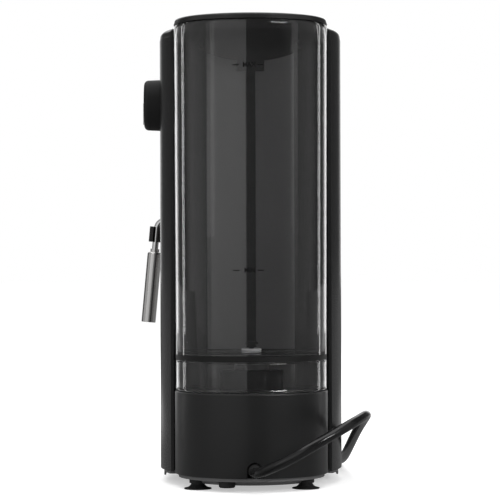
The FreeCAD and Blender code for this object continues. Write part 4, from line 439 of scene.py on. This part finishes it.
def smooth_piece(mesh, name, body, sharp=None):
    """Makes the mesh a smooth piece that rides on a body, sharp above an angle."""
    bmesh.ops.recalc_face_normals(mesh, faces=mesh.faces)
    for face in mesh.faces:
        face.smooth = True
    data = bpy.data.meshes.new(name)
    mesh.to_mesh(data)
    mesh.free()
    if sharp:
        data.set_sharp_from_angle(angle=math.radians(sharp))
    piece = bpy.data.objects.new(name, data)
    scene.collection.objects.link(piece)
    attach(piece, body)
    return piece


tank_low, tank_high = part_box("tank")
TANK_FOOT = tank_low.z * 1000
TANK_TOP = tank_high.z * 1000
TANK_HALF = (tank_high.x - tank_low.x) * 500
TANK_FRONT = 11.8
TANK_CORNER = 4.6
WALL = 2.6
FLOOR_TOP = 97.4
FLOOR_THICK = 4.0
FILLET_UNDER, FILLET_OVER = 1.8, 2.4
# How deep the band of painted shade at the floor's edge is recessed into the outer wall.
SHADE_BAND_RECESS = 0.28
DRAFT = math.tan(math.radians(0.19))
VALVE_AXIS = 14  # behind the tank's widest line
BORE = 6
AROUND = 48
mesh = bmesh.new()
loops = []


def tank_loop(inset, height):
    """Adds one loop of the tank at a height, inset from its outer wall."""
    half = TANK_HALF - DRAFT * (TANK_TOP - height) - inset
    plan = tank_plan(half, TANK_FRONT - inset, max(TANK_CORNER - inset, 1.6))
    loops.append([mesh.verts.new(spot(x, y, height)) for x, y in plan])


under = FLOOR_TOP - FLOOR_THICK
tank_loop(WALL + FILLET_UNDER, under)
for turn in (72, 54, 36, 18, 0):
    turn = math.radians(turn)
    tank_loop(
        WALL + FILLET_UNDER - FILLET_UNDER * math.cos(turn),
        under - FILLET_UNDER + FILLET_UNDER * math.sin(turn),
    )
tank_loop(WALL, TANK_FOOT + 0.7)
for degrees in (0, 45, 90):
    turn = math.radians(degrees)
    tank_loop(WALL - 0.7 + 0.7 * math.cos(turn), TANK_FOOT + 0.7 - 0.7 * math.sin(turn))
for degrees in (90, 60, 30, 0):
    turn = math.radians(degrees)
    tank_loop(1.2 - 1.2 * math.cos(turn), TANK_FOOT + 1.2 - 1.2 * math.sin(turn))
tank_loop(-0.25, TANK_FOOT + 1.3)
tank_loop(0, TANK_FOOT + 2.1)
tank_loop(0, TANK_FOOT + 2.5)
tank_loop(0, under - 0.9)
tank_loop(0, under - 0.4)
tank_loop(0.1, under - 0.12)
# The band of painted shade: the outer wall steps in here and is painted near-black.
tank_loop(SHADE_BAND_RECESS, under)
painted_shade_loop = len(loops) - 1
tank_loop(SHADE_BAND_RECESS, FLOOR_TOP - 0.02)
tank_loop(0, FLOOR_TOP + 0.02)
tank_loop(0, FLOOR_TOP + 0.5)
for share in range(1, 12):
    tank_loop(0, FLOOR_TOP + (TANK_TOP - 2.8 - FLOOR_TOP) * share / 12)
tank_loop(0, TANK_TOP - 2.7)
tank_loop(0, TANK_TOP - 2.3)
tank_loop(0.49, TANK_TOP - 0.7)
for degrees in (30, 60, 90):
    turn = math.radians(degrees)
    tank_loop(1.1 - 0.61 * math.cos(turn), TANK_TOP - 0.6 + 0.6 * math.sin(turn))
for degrees in (90, 45, 0):
    turn = math.radians(degrees)
    tank_loop(WALL - 0.7 + 0.7 * math.cos(turn), TANK_TOP - 0.7 + 0.7 * math.sin(turn))
for share in range(1, 12):
    tank_loop(WALL, TANK_TOP - (TANK_TOP - FLOOR_TOP - FILLET_OVER) * share / 12)
for degrees in (0, 22.5, 45, 67.5, 90):
    turn = math.radians(degrees)
    tank_loop(
        WALL + FILLET_OVER - FILLET_OVER * math.cos(turn),
        FLOOR_TOP + FILLET_OVER - FILLET_OVER * math.sin(turn),
    )
# These faces get the near-black painted shade of the floor's edge.
for face in skin(mesh, loops)[painted_shade_loop]:
    face.material_index = 1
bores = []
for height in (under, FLOOR_TOP):
    bore = []
    for step in range(AROUND):
        turn = math.tau * step / AROUND
        at = spot(BORE * math.cos(turn), VALVE_AXIS + BORE * math.sin(turn), height)
        bore.append(mesh.verts.new(at))
    bores.append(bore)
skin(mesh, bores)
bridge(mesh, loops[0], bores[0])
bridge(mesh, loops[-1], bores[1])
tank_shell = smooth_piece(mesh, "tank_shell", "water_tank", 50)
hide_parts("tank")

CLEAR_TINT = (0.81, 0.81, 0.81)
clear_tank, tree, shader = material("clear_tank", CLEAR_TINT, 0.0)
shader.inputs["Transmission Weight"].default_value = 1.0
shader.inputs["IOR"].default_value = 1.49
path = tree.nodes.new("ShaderNodeLightPath")
clear = tree.nodes.new("ShaderNodeBsdfTransparent")
clear.inputs["Color"].default_value = (*CLEAR_TINT, 1)
chosen = tree.nodes.new("ShaderNodeMixShader")
tree.links.new(path.outputs["Is Shadow Ray"], chosen.inputs[0])
tree.links.new(shader.outputs[0], chosen.inputs[1])
tree.links.new(clear.outputs[0], chosen.inputs[2])
tree.links.new(chosen.outputs[0], tree.nodes["Material Output"].inputs[0])
# Painted shade: near-black, standing in for how dark the floor looks seen edge-on through the
# wall.
floor_line_painted_shade, tree, shader = material("floor_line_painted_shade", (0.006, 0.006, 0.006), 0.5)
shader.inputs["Specular IOR Level"].default_value = 0.25
grain(tree, shader, 900, 0.05, 0.42, 0.55)
tank_shell.data.materials.append(clear_tank)
tank_shell.data.materials.append(floor_line_painted_shade)
finish(clear_tank, "tank")

# ---------------------------------------------------------------- valve
# The valve's seat and its plunger: two small turned mouldings with rounded edges. The
# seat's pale ring stands on the tank's floor and its dark collar hangs under it; the
# plunger's stem runs through it, and its head closes the hole.


def turned(name, rings, body, dark_below):
    """A closed ring of revolution about the valve's axis from points (radius, z) in mm."""
    mesh = bmesh.new()
    loops = []
    for radius, height in rings:
        loop = []
        for step in range(AROUND):
            turn = math.tau * step / AROUND
            at = spot(radius * math.cos(turn), VALVE_AXIS + radius * math.sin(turn), height)
            loop.append(mesh.verts.new(at))
        loops.append(loop)
    for band in skin(mesh, loops + loops[:1]):
        for face in band:
            if face.calc_center_median().z < dark_below / 1000:
                face.material_index = 1
    return smooth_piece(mesh, name, body, 40)


SEAT = (
    (4.0, 76.7), (4.3, 76.4), (7.6, 76.4), (8.0, 76.8), (8.0, 84.6), (11.9, 84.6),
    (12.4, 85.1), (12.4, 92.6), (12.1, 93.1), (11.7, 93.3), (5.9, 93.3), (5.9, 97.45),
    (7.0, 97.45), (7.4, 97.7), (7.4, 98.2), (6.9, 98.5), (6.9, 99.0), (7.4, 99.3),
    (7.4, 100.0), (7.1, 100.5), (6.5, 100.8), (3.4, 100.8), (2.7, 100.3), (2.6, 98.2),
    (2.9, 98.0), (4.0, 98.0),
)
valve_seat = turned("valve_seat", SEAT, "water_tank", FLOOR_TOP - 1)
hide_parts("valve_body")
ring_grey, tree, shader = material("ring_grey", (0.42, 0.42, 0.425), 0.2)
grain(tree, shader, 600, 0.05, 0.16, 0.28)
collar_grey, tree, shader = material("collar_grey", (0.06, 0.06, 0.061), 0.3)
grain(tree, shader, 600, 0.05, 0.25, 0.36)
valve_seat.data.materials.append(ring_grey)
valve_seat.data.materials.append(collar_grey)
finish(ring_grey, "valve_body")

HEAD = (
    (0.02, 80.4), (3.3, 80.4), (3.6, 80.7), (3.6, 82.5), (3.3, 82.8), (1.8, 82.8),
    (1.8, 103.9), (4.5, 103.9), (5.0, 104.3), (5.0, 104.9), (4.5, 105.6), (3.4, 106.1),
    (1.8, 106.4), (0.02, 106.5),
)
plunger_head = turned("plunger_head", HEAD, "plunger", 0)
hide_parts("valve_plunger")
plunger_head.data.materials.append(black_satin)
finish(black_satin, "valve_plunger")

# ---------------------------------------------------------------- valve spring
# The coil of stainless wire round the plunger's stem. Its top rests under the tank's
# floor and its foot on the stem's collar. It is built at rest, as one fixed coil that
# rides with the tank, though the real spring shortens as the plunger rises.

WIRE = 0.45
WIRE_SIDES = 10
TURNS = 9
TURN_STEPS = 24
low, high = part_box("valve_spring")
centre_x = ((low.x + high.x) / 2 - MIRROR) * 1000
centre_y = ((low.y + high.y) / 2 - WIDEST) * 1000
spring_reach = (high.x - low.x) * 500 - WIRE
spring_foot, spring_top = low.z * 1000 + WIRE, high.z * 1000 - WIRE
mesh = bmesh.new()
rings = []
for step in range(TURNS * TURN_STEPS + 1):
    turn = math.tau * step / TURN_STEPS
    outward = Vector((math.cos(turn), math.sin(turn), 0))
    height = spring_foot + (spring_top - spring_foot) * step / (TURNS * TURN_STEPS)
    middle = Vector((centre_x, centre_y, height)) + outward * spring_reach
    ring = []
    for side in range(WIRE_SIDES):
        round_wire = math.tau * side / WIRE_SIDES
        at = middle + outward * (WIRE * math.cos(round_wire))
        at.z += WIRE * math.sin(round_wire)
        ring.append(mesh.verts.new(spot(*at)))
    rings.append(ring)
skin(mesh, rings)
mesh.faces.new(rings[0])
mesh.faces.new(rings[-1])
coil_spring = smooth_piece(mesh, "coil_spring", "water_tank")
for polygon in coil_spring.data.polygons:
    polygon.use_smooth = len(polygon.vertices) == 4
coil_spring.data.materials.append(chrome)
finish(chrome, "valve_spring")
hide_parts("valve_spring")
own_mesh(coil_spring)

# ---------------------------------------------------------------- lid
# The lift-off lid as one satin black moulding: a leaning, softly domed edge, a plug
# skirt with rounded lips that drops in the tank's rim, and a dished finger scoop.

mesh = bmesh.new()
loops = []
LID_FOOT = TANK_TOP + 0.3
LID_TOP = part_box("tank_lid")[1].z * 1000
SKIRT = (
    # inset from the lid's edge, height above its foot
    (6.4, 0), (5.1, 0), (4.7, -0.4), (4.7, -7.1), (4.4, -7.5), (3.4, -7.5), (3.1, -7.1),
    (3.1, -0.2), (2.9, 0), (0.5, 0), (0.15, 0.15), (0.0, 0.5),
)
SCOOP = (
    # half width of the scoop, depth under the lid's top
    (7.0, 0.0), (6.8, 0.15), (6.5, 0.7), (5.9, 1.5), (4.9, 1.95), (3.6, 2.1),
)
SCOOP_HALF = 13
SCOOP_AXIS = 16
EDGE_LEAN = math.radians(17)
EDGE_TALL = 1.3
EDGE_ROUND = 1.8
EDGE_RISE = 0.292  # the lean's sine, where the rounded edge begins


def lid_loop(inset, height):
    """Adds one loop of the lid at a height, inset from its outer edge."""
    plan = tank_plan(TANK_HALF - inset, TANK_FRONT - inset, max(4.0 - inset * 0.6, 1.2))
    loops.append([mesh.verts.new(spot(x, y, height)) for x, y in plan])


for inset, height in SKIRT:
    lid_loop(inset, LID_FOOT + height)
shoulder = LID_TOP - LID_FOOT - EDGE_TALL
leaning_wall = math.tan(EDGE_LEAN) * (shoulder - 0.5)
for share in range(1, 6):
    lid_loop(leaning_wall * share / 5, LID_FOOT + 0.5 + (shoulder - 0.5) * share / 5)
for degrees in (30, 45, 60, 75, 90):
    turn = math.radians(degrees)
    lid_loop(
        leaning_wall + EDGE_ROUND * (math.cos(EDGE_LEAN) - math.cos(turn)),
        LID_FOOT + shoulder + EDGE_TALL * (math.sin(turn) - EDGE_RISE) / (1 - EDGE_RISE),
    )
lid_loop(7.5, LID_TOP)
skin(mesh, loops)
mesh.faces.new(loops[0])
scoops = []
for reach, depth in SCOOP:
    ring = []
    for side in (1, -1):
        for step in range(17):
            turn = math.radians(-90 + 180 * step / 16) + (0 if side > 0 else math.pi)
            ring.append(
                mesh.verts.new(
                    spot(
                        side * SCOOP_HALF + reach * math.cos(turn),
                        SCOOP_AXIS + reach * math.sin(turn),
                        LID_TOP - depth,
                    )
                )
            )
    scoops.append(ring)
skin(mesh, scoops)
mesh.faces.new(scoops[-1])
bridge(mesh, loops[-1], scoops[0])
lid_cover = smooth_piece(mesh, "lid_cover", "lid", 40)
lid_cover.data.materials.append(black_satin)
finish(black_satin, "tank_lid")
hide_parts("tank_lid")

# ---------------------------------------------------------------- level marks
# The filling marks, printed in dark ink on the tank's rear wall: a word between two
# dashes at the highest and at the lowest water level.

MARKS = (("MAX", 306.6), ("MIN", 159.3))
LETTER_TALL = 5.0
LETTER_SHARE = 0.88  # of the letters' own width
LETTERS_ASIDE = 1.3
DASHES = ((13.4, 8.6), (-4.6, -9.0))
DASH_HALF = 0.33
DASH_STEPS = 6
INK_THICK = 0.05
mesh = bmesh.new()


def on_tank(x, z):
    """The point on the tank's rear wall at x and z, a hair outside it."""
    back_radius = TANK_HALF - DRAFT * (TANK_TOP - z) + ARC_GAIN
    return spot(x, math.sqrt(back_radius**2 - x * x) - ARC_AHEAD + INK_THICK, z)


for word, height in MARKS:
    letters = bpy.data.curves.new("letters", "FONT")
    letters.body = word
    letters.size = LETTER_TALL
    letters.align_x = "CENTER"
    letters.align_y = "CENTER"
    letters.offset = 0.13
    typed = bpy.data.objects.new("letters", letters)
    flat = bpy.data.meshes.new_from_object(typed)
    corners = [
        mesh.verts.new(on_tank(LETTERS_ASIDE - v.co.x * LETTER_SHARE, height + v.co.y))
        for v in flat.vertices
    ]
    for polygon in flat.polygons:
        mesh.faces.new([corners[i] for i in polygon.vertices])
    bpy.data.objects.remove(typed)
    bpy.data.curves.remove(letters)
    bpy.data.meshes.remove(flat)
    for left, right in DASHES:
        across = [left + (right - left) * step / DASH_STEPS for step in range(DASH_STEPS + 1)]
        lower = [mesh.verts.new(on_tank(x, height - DASH_HALF)) for x in across]
        upper = [mesh.verts.new(on_tank(x, height + DASH_HALF)) for x in across]
        for index in range(DASH_STEPS):
            mesh.faces.new(
                (lower[index], lower[index + 1], upper[index + 1], upper[index])
            )
data = bpy.data.meshes.new("level_marks")
mesh.to_mesh(data)
mesh.free()
mark_ink, tree, shader = material("mark_ink", (0.003, 0.003, 0.003), 0.7)
shader.inputs["Specular IOR Level"].default_value = 0.1
grain(tree, shader, 2200, 0.1, 0.6, 0.75)
data.materials.append(mark_ink)
level_marks = bpy.data.objects.new("level_marks", data)
scene.collection.objects.link(level_marks)
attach(level_marks, "water_tank")

# ---------------------------------------------------------------- light and ground
# A white studio: a pale floor, a world that shows white behind the object and in its
# grazing reflections, tall softboxes to both sides, strips beside the machine for its
# edges, and wide soft light from above and from the front.

STUDIO = (
    # place from straight ahead of the machine (0) round to straight behind it (1), level
    (0.0, 1.0), (0.012, 0.9), (0.02, 0.5), (0.036, 0.07), (0.3, 0.055), (0.45, 0.3),
    (0.65, 0.3), (0.86, 0.1), (0.9, 0.1),
)
PLAIN_LEVEL = 0.7  # of the world on matt surfaces
LEVEL_LEFT, LEVEL_RIGHT = 1.42, 1.05  # as seen from behind the machine


def grey_ramp(tree, stops):
    """A ramp of grey levels from pairs (place, level)."""
    ramp = tree.nodes.new("ShaderNodeValToRGB")
    while len(ramp.color_ramp.elements) < len(stops):
        ramp.color_ramp.elements.new(0.5)
    for stop, (at, level) in zip(ramp.color_ramp.elements, stops):
        stop.position = at
        stop.color = (level, level, level, 1)
    return ramp


def mirrored_or_seen_through(tree, path):
    """A node that is 1 where a surface mirrors the studio or shows it through itself."""
    clearly = tree.nodes.new("ShaderNodeMath")
    clearly.operation = "MAXIMUM"
    tree.links.new(path.outputs["Is Glossy Ray"], clearly.inputs[0])
    tree.links.new(path.outputs["Is Transmission Ray"], clearly.inputs[1])
    return clearly


scene.view_settings.view_transform = "Standard"
world = bpy.data.worlds.new("studio")
world.use_nodes = True
scene.world = world
tree = world.node_tree
tree.nodes.clear()
out = tree.nodes.new("ShaderNodeOutputWorld")
where = tree.nodes.new("ShaderNodeTexCoord")
split = tree.nodes.new("ShaderNodeSeparateXYZ")
tree.links.new(where.outputs["Generated"], split.inputs[0])
from_front = tree.nodes.new("ShaderNodeMapRange")
from_front.inputs["From Min"].default_value = -1.0
tree.links.new(split.outputs["Y"], from_front.inputs["Value"])
ramp = grey_ramp(tree, STUDIO)
tree.links.new(from_front.outputs["Result"], ramp.inputs["Fac"])
sideways = tree.nodes.new("ShaderNodeMapRange")
sideways.inputs["From Min"].default_value = -1.0
sideways.inputs["To Min"].default_value = LEVEL_RIGHT
sideways.inputs["To Max"].default_value = LEVEL_LEFT
tree.links.new(split.outputs["X"], sideways.inputs["Value"])
leaning = tree.nodes.new("ShaderNodeMath")
leaning.operation = "MULTIPLY"
tree.links.new(ramp.outputs["Color"], leaning.inputs[0])
tree.links.new(sideways.outputs["Result"], leaning.inputs[1])
path = tree.nodes.new("ShaderNodeLightPath")
clearly = mirrored_or_seen_through(tree, path)
plain = tree.nodes.new("ShaderNodeMix")
plain.data_type = "FLOAT"
plain.inputs[2].default_value = PLAIN_LEVEL
tree.links.new(clearly.outputs[0], plain.inputs[0])
tree.links.new(leaning.outputs[0], plain.inputs[3])
final = tree.nodes.new("ShaderNodeMix")
final.data_type = "FLOAT"
final.inputs[3].default_value = 1.0
tree.links.new(path.outputs["Is Camera Ray"], final.inputs[0])
tree.links.new(plain.outputs[0], final.inputs[2])
backdrop = tree.nodes.new("ShaderNodeBackground")
backdrop.inputs["Color"].default_value = (1, 1, 1, 1)
tree.links.new(final.outputs[0], backdrop.inputs["Strength"])
tree.links.new(backdrop.outputs[0], out.inputs[0])

# The floor is pale to the eye, and keeps the machine's shadow. In glossy and clear
# surfaces it shows dimmer, with a lighter card laid ahead of the machine, and a painted
# shadow of the machine: dimmer still within a wedge that opens ahead from it.
FLOOR_SIZE = 16.0
FLOOR_EDGE = 0.45  # how far it reaches behind the machine
FLOOR_DROP = 0.0002
CARD_FROM, CARD_TO = -0.2, -2.6
CARD_HALF, CARD_FULL = 0.5, 0.25
CARD_LENGTH = ((0.0, 0.0), (0.22, 1.0), (0.6, 1.0), (0.9, 0.0))
FLOOR_GLOW = 0.45
DIM_LEVEL, CARD_LEVEL = 0.22, 0.85
# The painted shadow of the machine, as the floor shows in glossy and clear surfaces: a wedge,
# this much dimmer, that opens ahead from the machine.
SHADOW_WEDGE_NEAR, SHADOW_WEDGE_DEEP = 0.05, 10.0
SHADOW_WEDGE_INNER, SHADOW_WEDGE_OUTER = 0.2, 0.45  # its two slopes, aside over ahead
SHADOW_WEDGE_LEVEL = 0.35
bpy.ops.mesh.primitive_plane_add(size=FLOOR_SIZE, location=(0, 0, -FLOOR_DROP))
floor = bpy.context.object
floor.name = "studio_floor"
floor.location.y = FLOOR_EDGE - FLOOR_SIZE / 2
floor_paint, tree, shader = material("floor_paint", (0.8, 0.8, 0.8), 0.9)
shader.inputs["Specular IOR Level"].default_value = 0.0
path = tree.nodes.new("ShaderNodeLightPath")
lit = tree.nodes.new("ShaderNodeEmission")
lit.inputs["Strength"].default_value = FLOOR_GLOW
both = tree.nodes.new("ShaderNodeAddShader")
tree.links.new(shader.outputs[0], both.inputs[0])
tree.links.new(lit.outputs[0], both.inputs[1])
dim = tree.nodes.new("ShaderNodeEmission")
where = tree.nodes.new("ShaderNodeTexCoord")
along = tree.nodes.new("ShaderNodeSeparateXYZ")
tree.links.new(where.outputs["Object"], along.inputs[0])
ahead_of = tree.nodes.new("ShaderNodeMapRange")
ahead_of.inputs["From Min"].default_value = CARD_FROM - floor.location.y
ahead_of.inputs["From Max"].default_value = CARD_TO - floor.location.y
tree.links.new(along.outputs["Y"], ahead_of.inputs["Value"])
card = grey_ramp(tree, CARD_LENGTH)
tree.links.new(ahead_of.outputs["Result"], card.inputs["Fac"])
aside = tree.nodes.new("ShaderNodeMath")
aside.operation = "ABSOLUTE"
tree.links.new(along.outputs["X"], aside.inputs[0])
within = tree.nodes.new("ShaderNodeMapRange")
within.inputs["From Min"].default_value = CARD_HALF
within.inputs["From Max"].default_value = CARD_FULL
tree.links.new(aside.outputs[0], within.inputs["Value"])
covered = tree.nodes.new("ShaderNodeMath")
covered.operation = "MULTIPLY"
tree.links.new(card.outputs["Color"], covered.inputs[0])
tree.links.new(within.outputs["Result"], covered.inputs[1])
# The painted shadow: dimmer within a wedge that widens ahead from the machine.
depth = tree.nodes.new("ShaderNodeMapRange")
depth.inputs["From Min"].default_value = -floor.location.y
depth.inputs["From Max"].default_value = -floor.location.y - SHADOW_WEDGE_DEEP
depth.inputs["To Min"].default_value = SHADOW_WEDGE_NEAR
depth.inputs["To Max"].default_value = SHADOW_WEDGE_NEAR + SHADOW_WEDGE_DEEP
tree.links.new(along.outputs["Y"], depth.inputs["Value"])
slant = tree.nodes.new("ShaderNodeMath")
slant.operation = "DIVIDE"
tree.links.new(aside.outputs[0], slant.inputs[0])
tree.links.new(depth.outputs["Result"], slant.inputs[1])
painted_shadow_wedge = tree.nodes.new("ShaderNodeMapRange")
painted_shadow_wedge.inputs["From Min"].default_value = SHADOW_WEDGE_INNER
painted_shadow_wedge.inputs["From Max"].default_value = SHADOW_WEDGE_OUTER
painted_shadow_wedge.inputs["To Min"].default_value = SHADOW_WEDGE_LEVEL
tree.links.new(slant.outputs[0], painted_shadow_wedge.inputs["Value"])
level = tree.nodes.new("ShaderNodeMapRange")
level.inputs["To Min"].default_value = DIM_LEVEL
level.inputs["To Max"].default_value = CARD_LEVEL
tree.links.new(covered.outputs[0], level.inputs["Value"])
shaded = tree.nodes.new("ShaderNodeMath")
shaded.operation = "MULTIPLY"
tree.links.new(level.outputs["Result"], shaded.inputs[0])
tree.links.new(painted_shadow_wedge.outputs["Result"], shaded.inputs[1])
tree.links.new(shaded.outputs[0], dim.inputs["Strength"])
clearly = mirrored_or_seen_through(tree, path)
mirrored = tree.nodes.new("ShaderNodeMixShader")
tree.links.new(clearly.outputs[0], mirrored.inputs[0])
tree.links.new(shader.outputs[0], mirrored.inputs[1])
tree.links.new(dim.outputs[0], mirrored.inputs[2])
chosen = tree.nodes.new("ShaderNodeMixShader")
tree.links.new(path.outputs["Is Camera Ray"], chosen.inputs[0])
tree.links.new(mirrored.outputs[0], chosen.inputs[1])
tree.links.new(both.outputs[0], chosen.inputs[2])
tree.links.new(chosen.outputs[0], tree.nodes["Material Output"].inputs[0])
floor.data.materials.append(floor_paint)

LIGHTS = [
    # name, place in mm, aimed at, width and height in m, watts
    ("left_softbox", (1170, 1900, 300), (0, 0, 190), 2.14, 3.2, 10.4),
    ("side_softbox", (1790, 1140, 780), (0, 0, 250), 0.48, 1.2, 0.55),
    ("right_softbox", (-1790, 920, 300), (0, 0, 190), 0.34, 2.6, 1.0),
    ("left_strip", (792, -428, 805), (0, 0, 805), 0.055, 1.6, 0.97),
    ("right_strip", (-781, -447, 805), (0, 0, 805), 0.065, 1.6, 0.97),
    ("left_edge", (424, -925, 805), (50, 0, 805), 0.28, 1.6, 1.7),
    ("right_edge", (-424, -925, 805), (-50, 0, 805), 0.28, 1.6, 1.6),
    ("high_softbox", (-1250, 1500, 900), (0, 0, 420), 0.9, 0.4, 1.4),
    ("top_softbox", (0, 100, 1900), (0, -60, 150), 2.2, 2.2, 20),
    ("front_softbox", (250, -1700, 1700), (0, -80, 170), 2.2, 1.8, 15),
]
# Softboxes that fade towards the floor: heights in mm and the share of light at each.
FADES = {
    "left_softbox": (0, 450, 0.72, 1.08),
    "right_softbox": (0, 450, 0.05, 1.3),
}
SPREADS = {"high_softbox": 40}  # degrees
# The strips and edge lamps draw the bright lines down the tank's and the base's sides
# only, and the lamps above are kept off the tank, whose foot would glow in them.
lined = bpy.data.collections.new("lined")
lined.objects.link(tank_shell)
lined.objects.link(nodes["rear_base"])
without_tank = bpy.data.collections.new("without_tank")
without_tank.objects.link(tank_shell)
without_tank.collection_objects[0].light_linking.link_state = "EXCLUDE"
for name, place, towards, wide, tall, watts in LIGHTS:
    data = bpy.data.lights.new(name, "AREA")
    data.shape = "RECTANGLE"
    data.size, data.size_y = wide, tall
    data.energy = watts
    lamp = bpy.data.objects.new(name, data)
    scene.collection.objects.link(lamp)
    lamp.location = spot(*place)
    lamp.rotation_euler = (
        (spot(*towards) - lamp.location).to_track_quat("-Z", "Y").to_euler()
    )
    if name in SPREADS:
        data.spread = math.radians(SPREADS[name])
    if name in FADES:
        low, high, dimmest, brightest = FADES[name]
        data.use_nodes = True
        tree = data.node_tree
        where = tree.nodes.new("ShaderNodeNewGeometry")
        split = tree.nodes.new("ShaderNodeSeparateXYZ")
        tree.links.new(where.outputs["Position"], split.inputs[0])
        fade = tree.nodes.new("ShaderNodeMapRange")
        fade.inputs["From Min"].default_value = low / 1000
        fade.inputs["From Max"].default_value = high / 1000
        fade.inputs["To Min"].default_value = dimmest
        fade.inputs["To Max"].default_value = brightest
        tree.links.new(split.outputs["Z"], fade.inputs["Value"])
        tree.links.new(fade.outputs["Result"], tree.nodes["Emission"].inputs["Strength"])
    if name in ("top_softbox", "front_softbox"):
        lamp.light_linking.receiver_collection = without_tank
    if name.endswith(("strip", "edge")):
        lamp.light_linking.receiver_collection = lined
        lamp.visible_camera = False

bpy.context.view_layer.update()
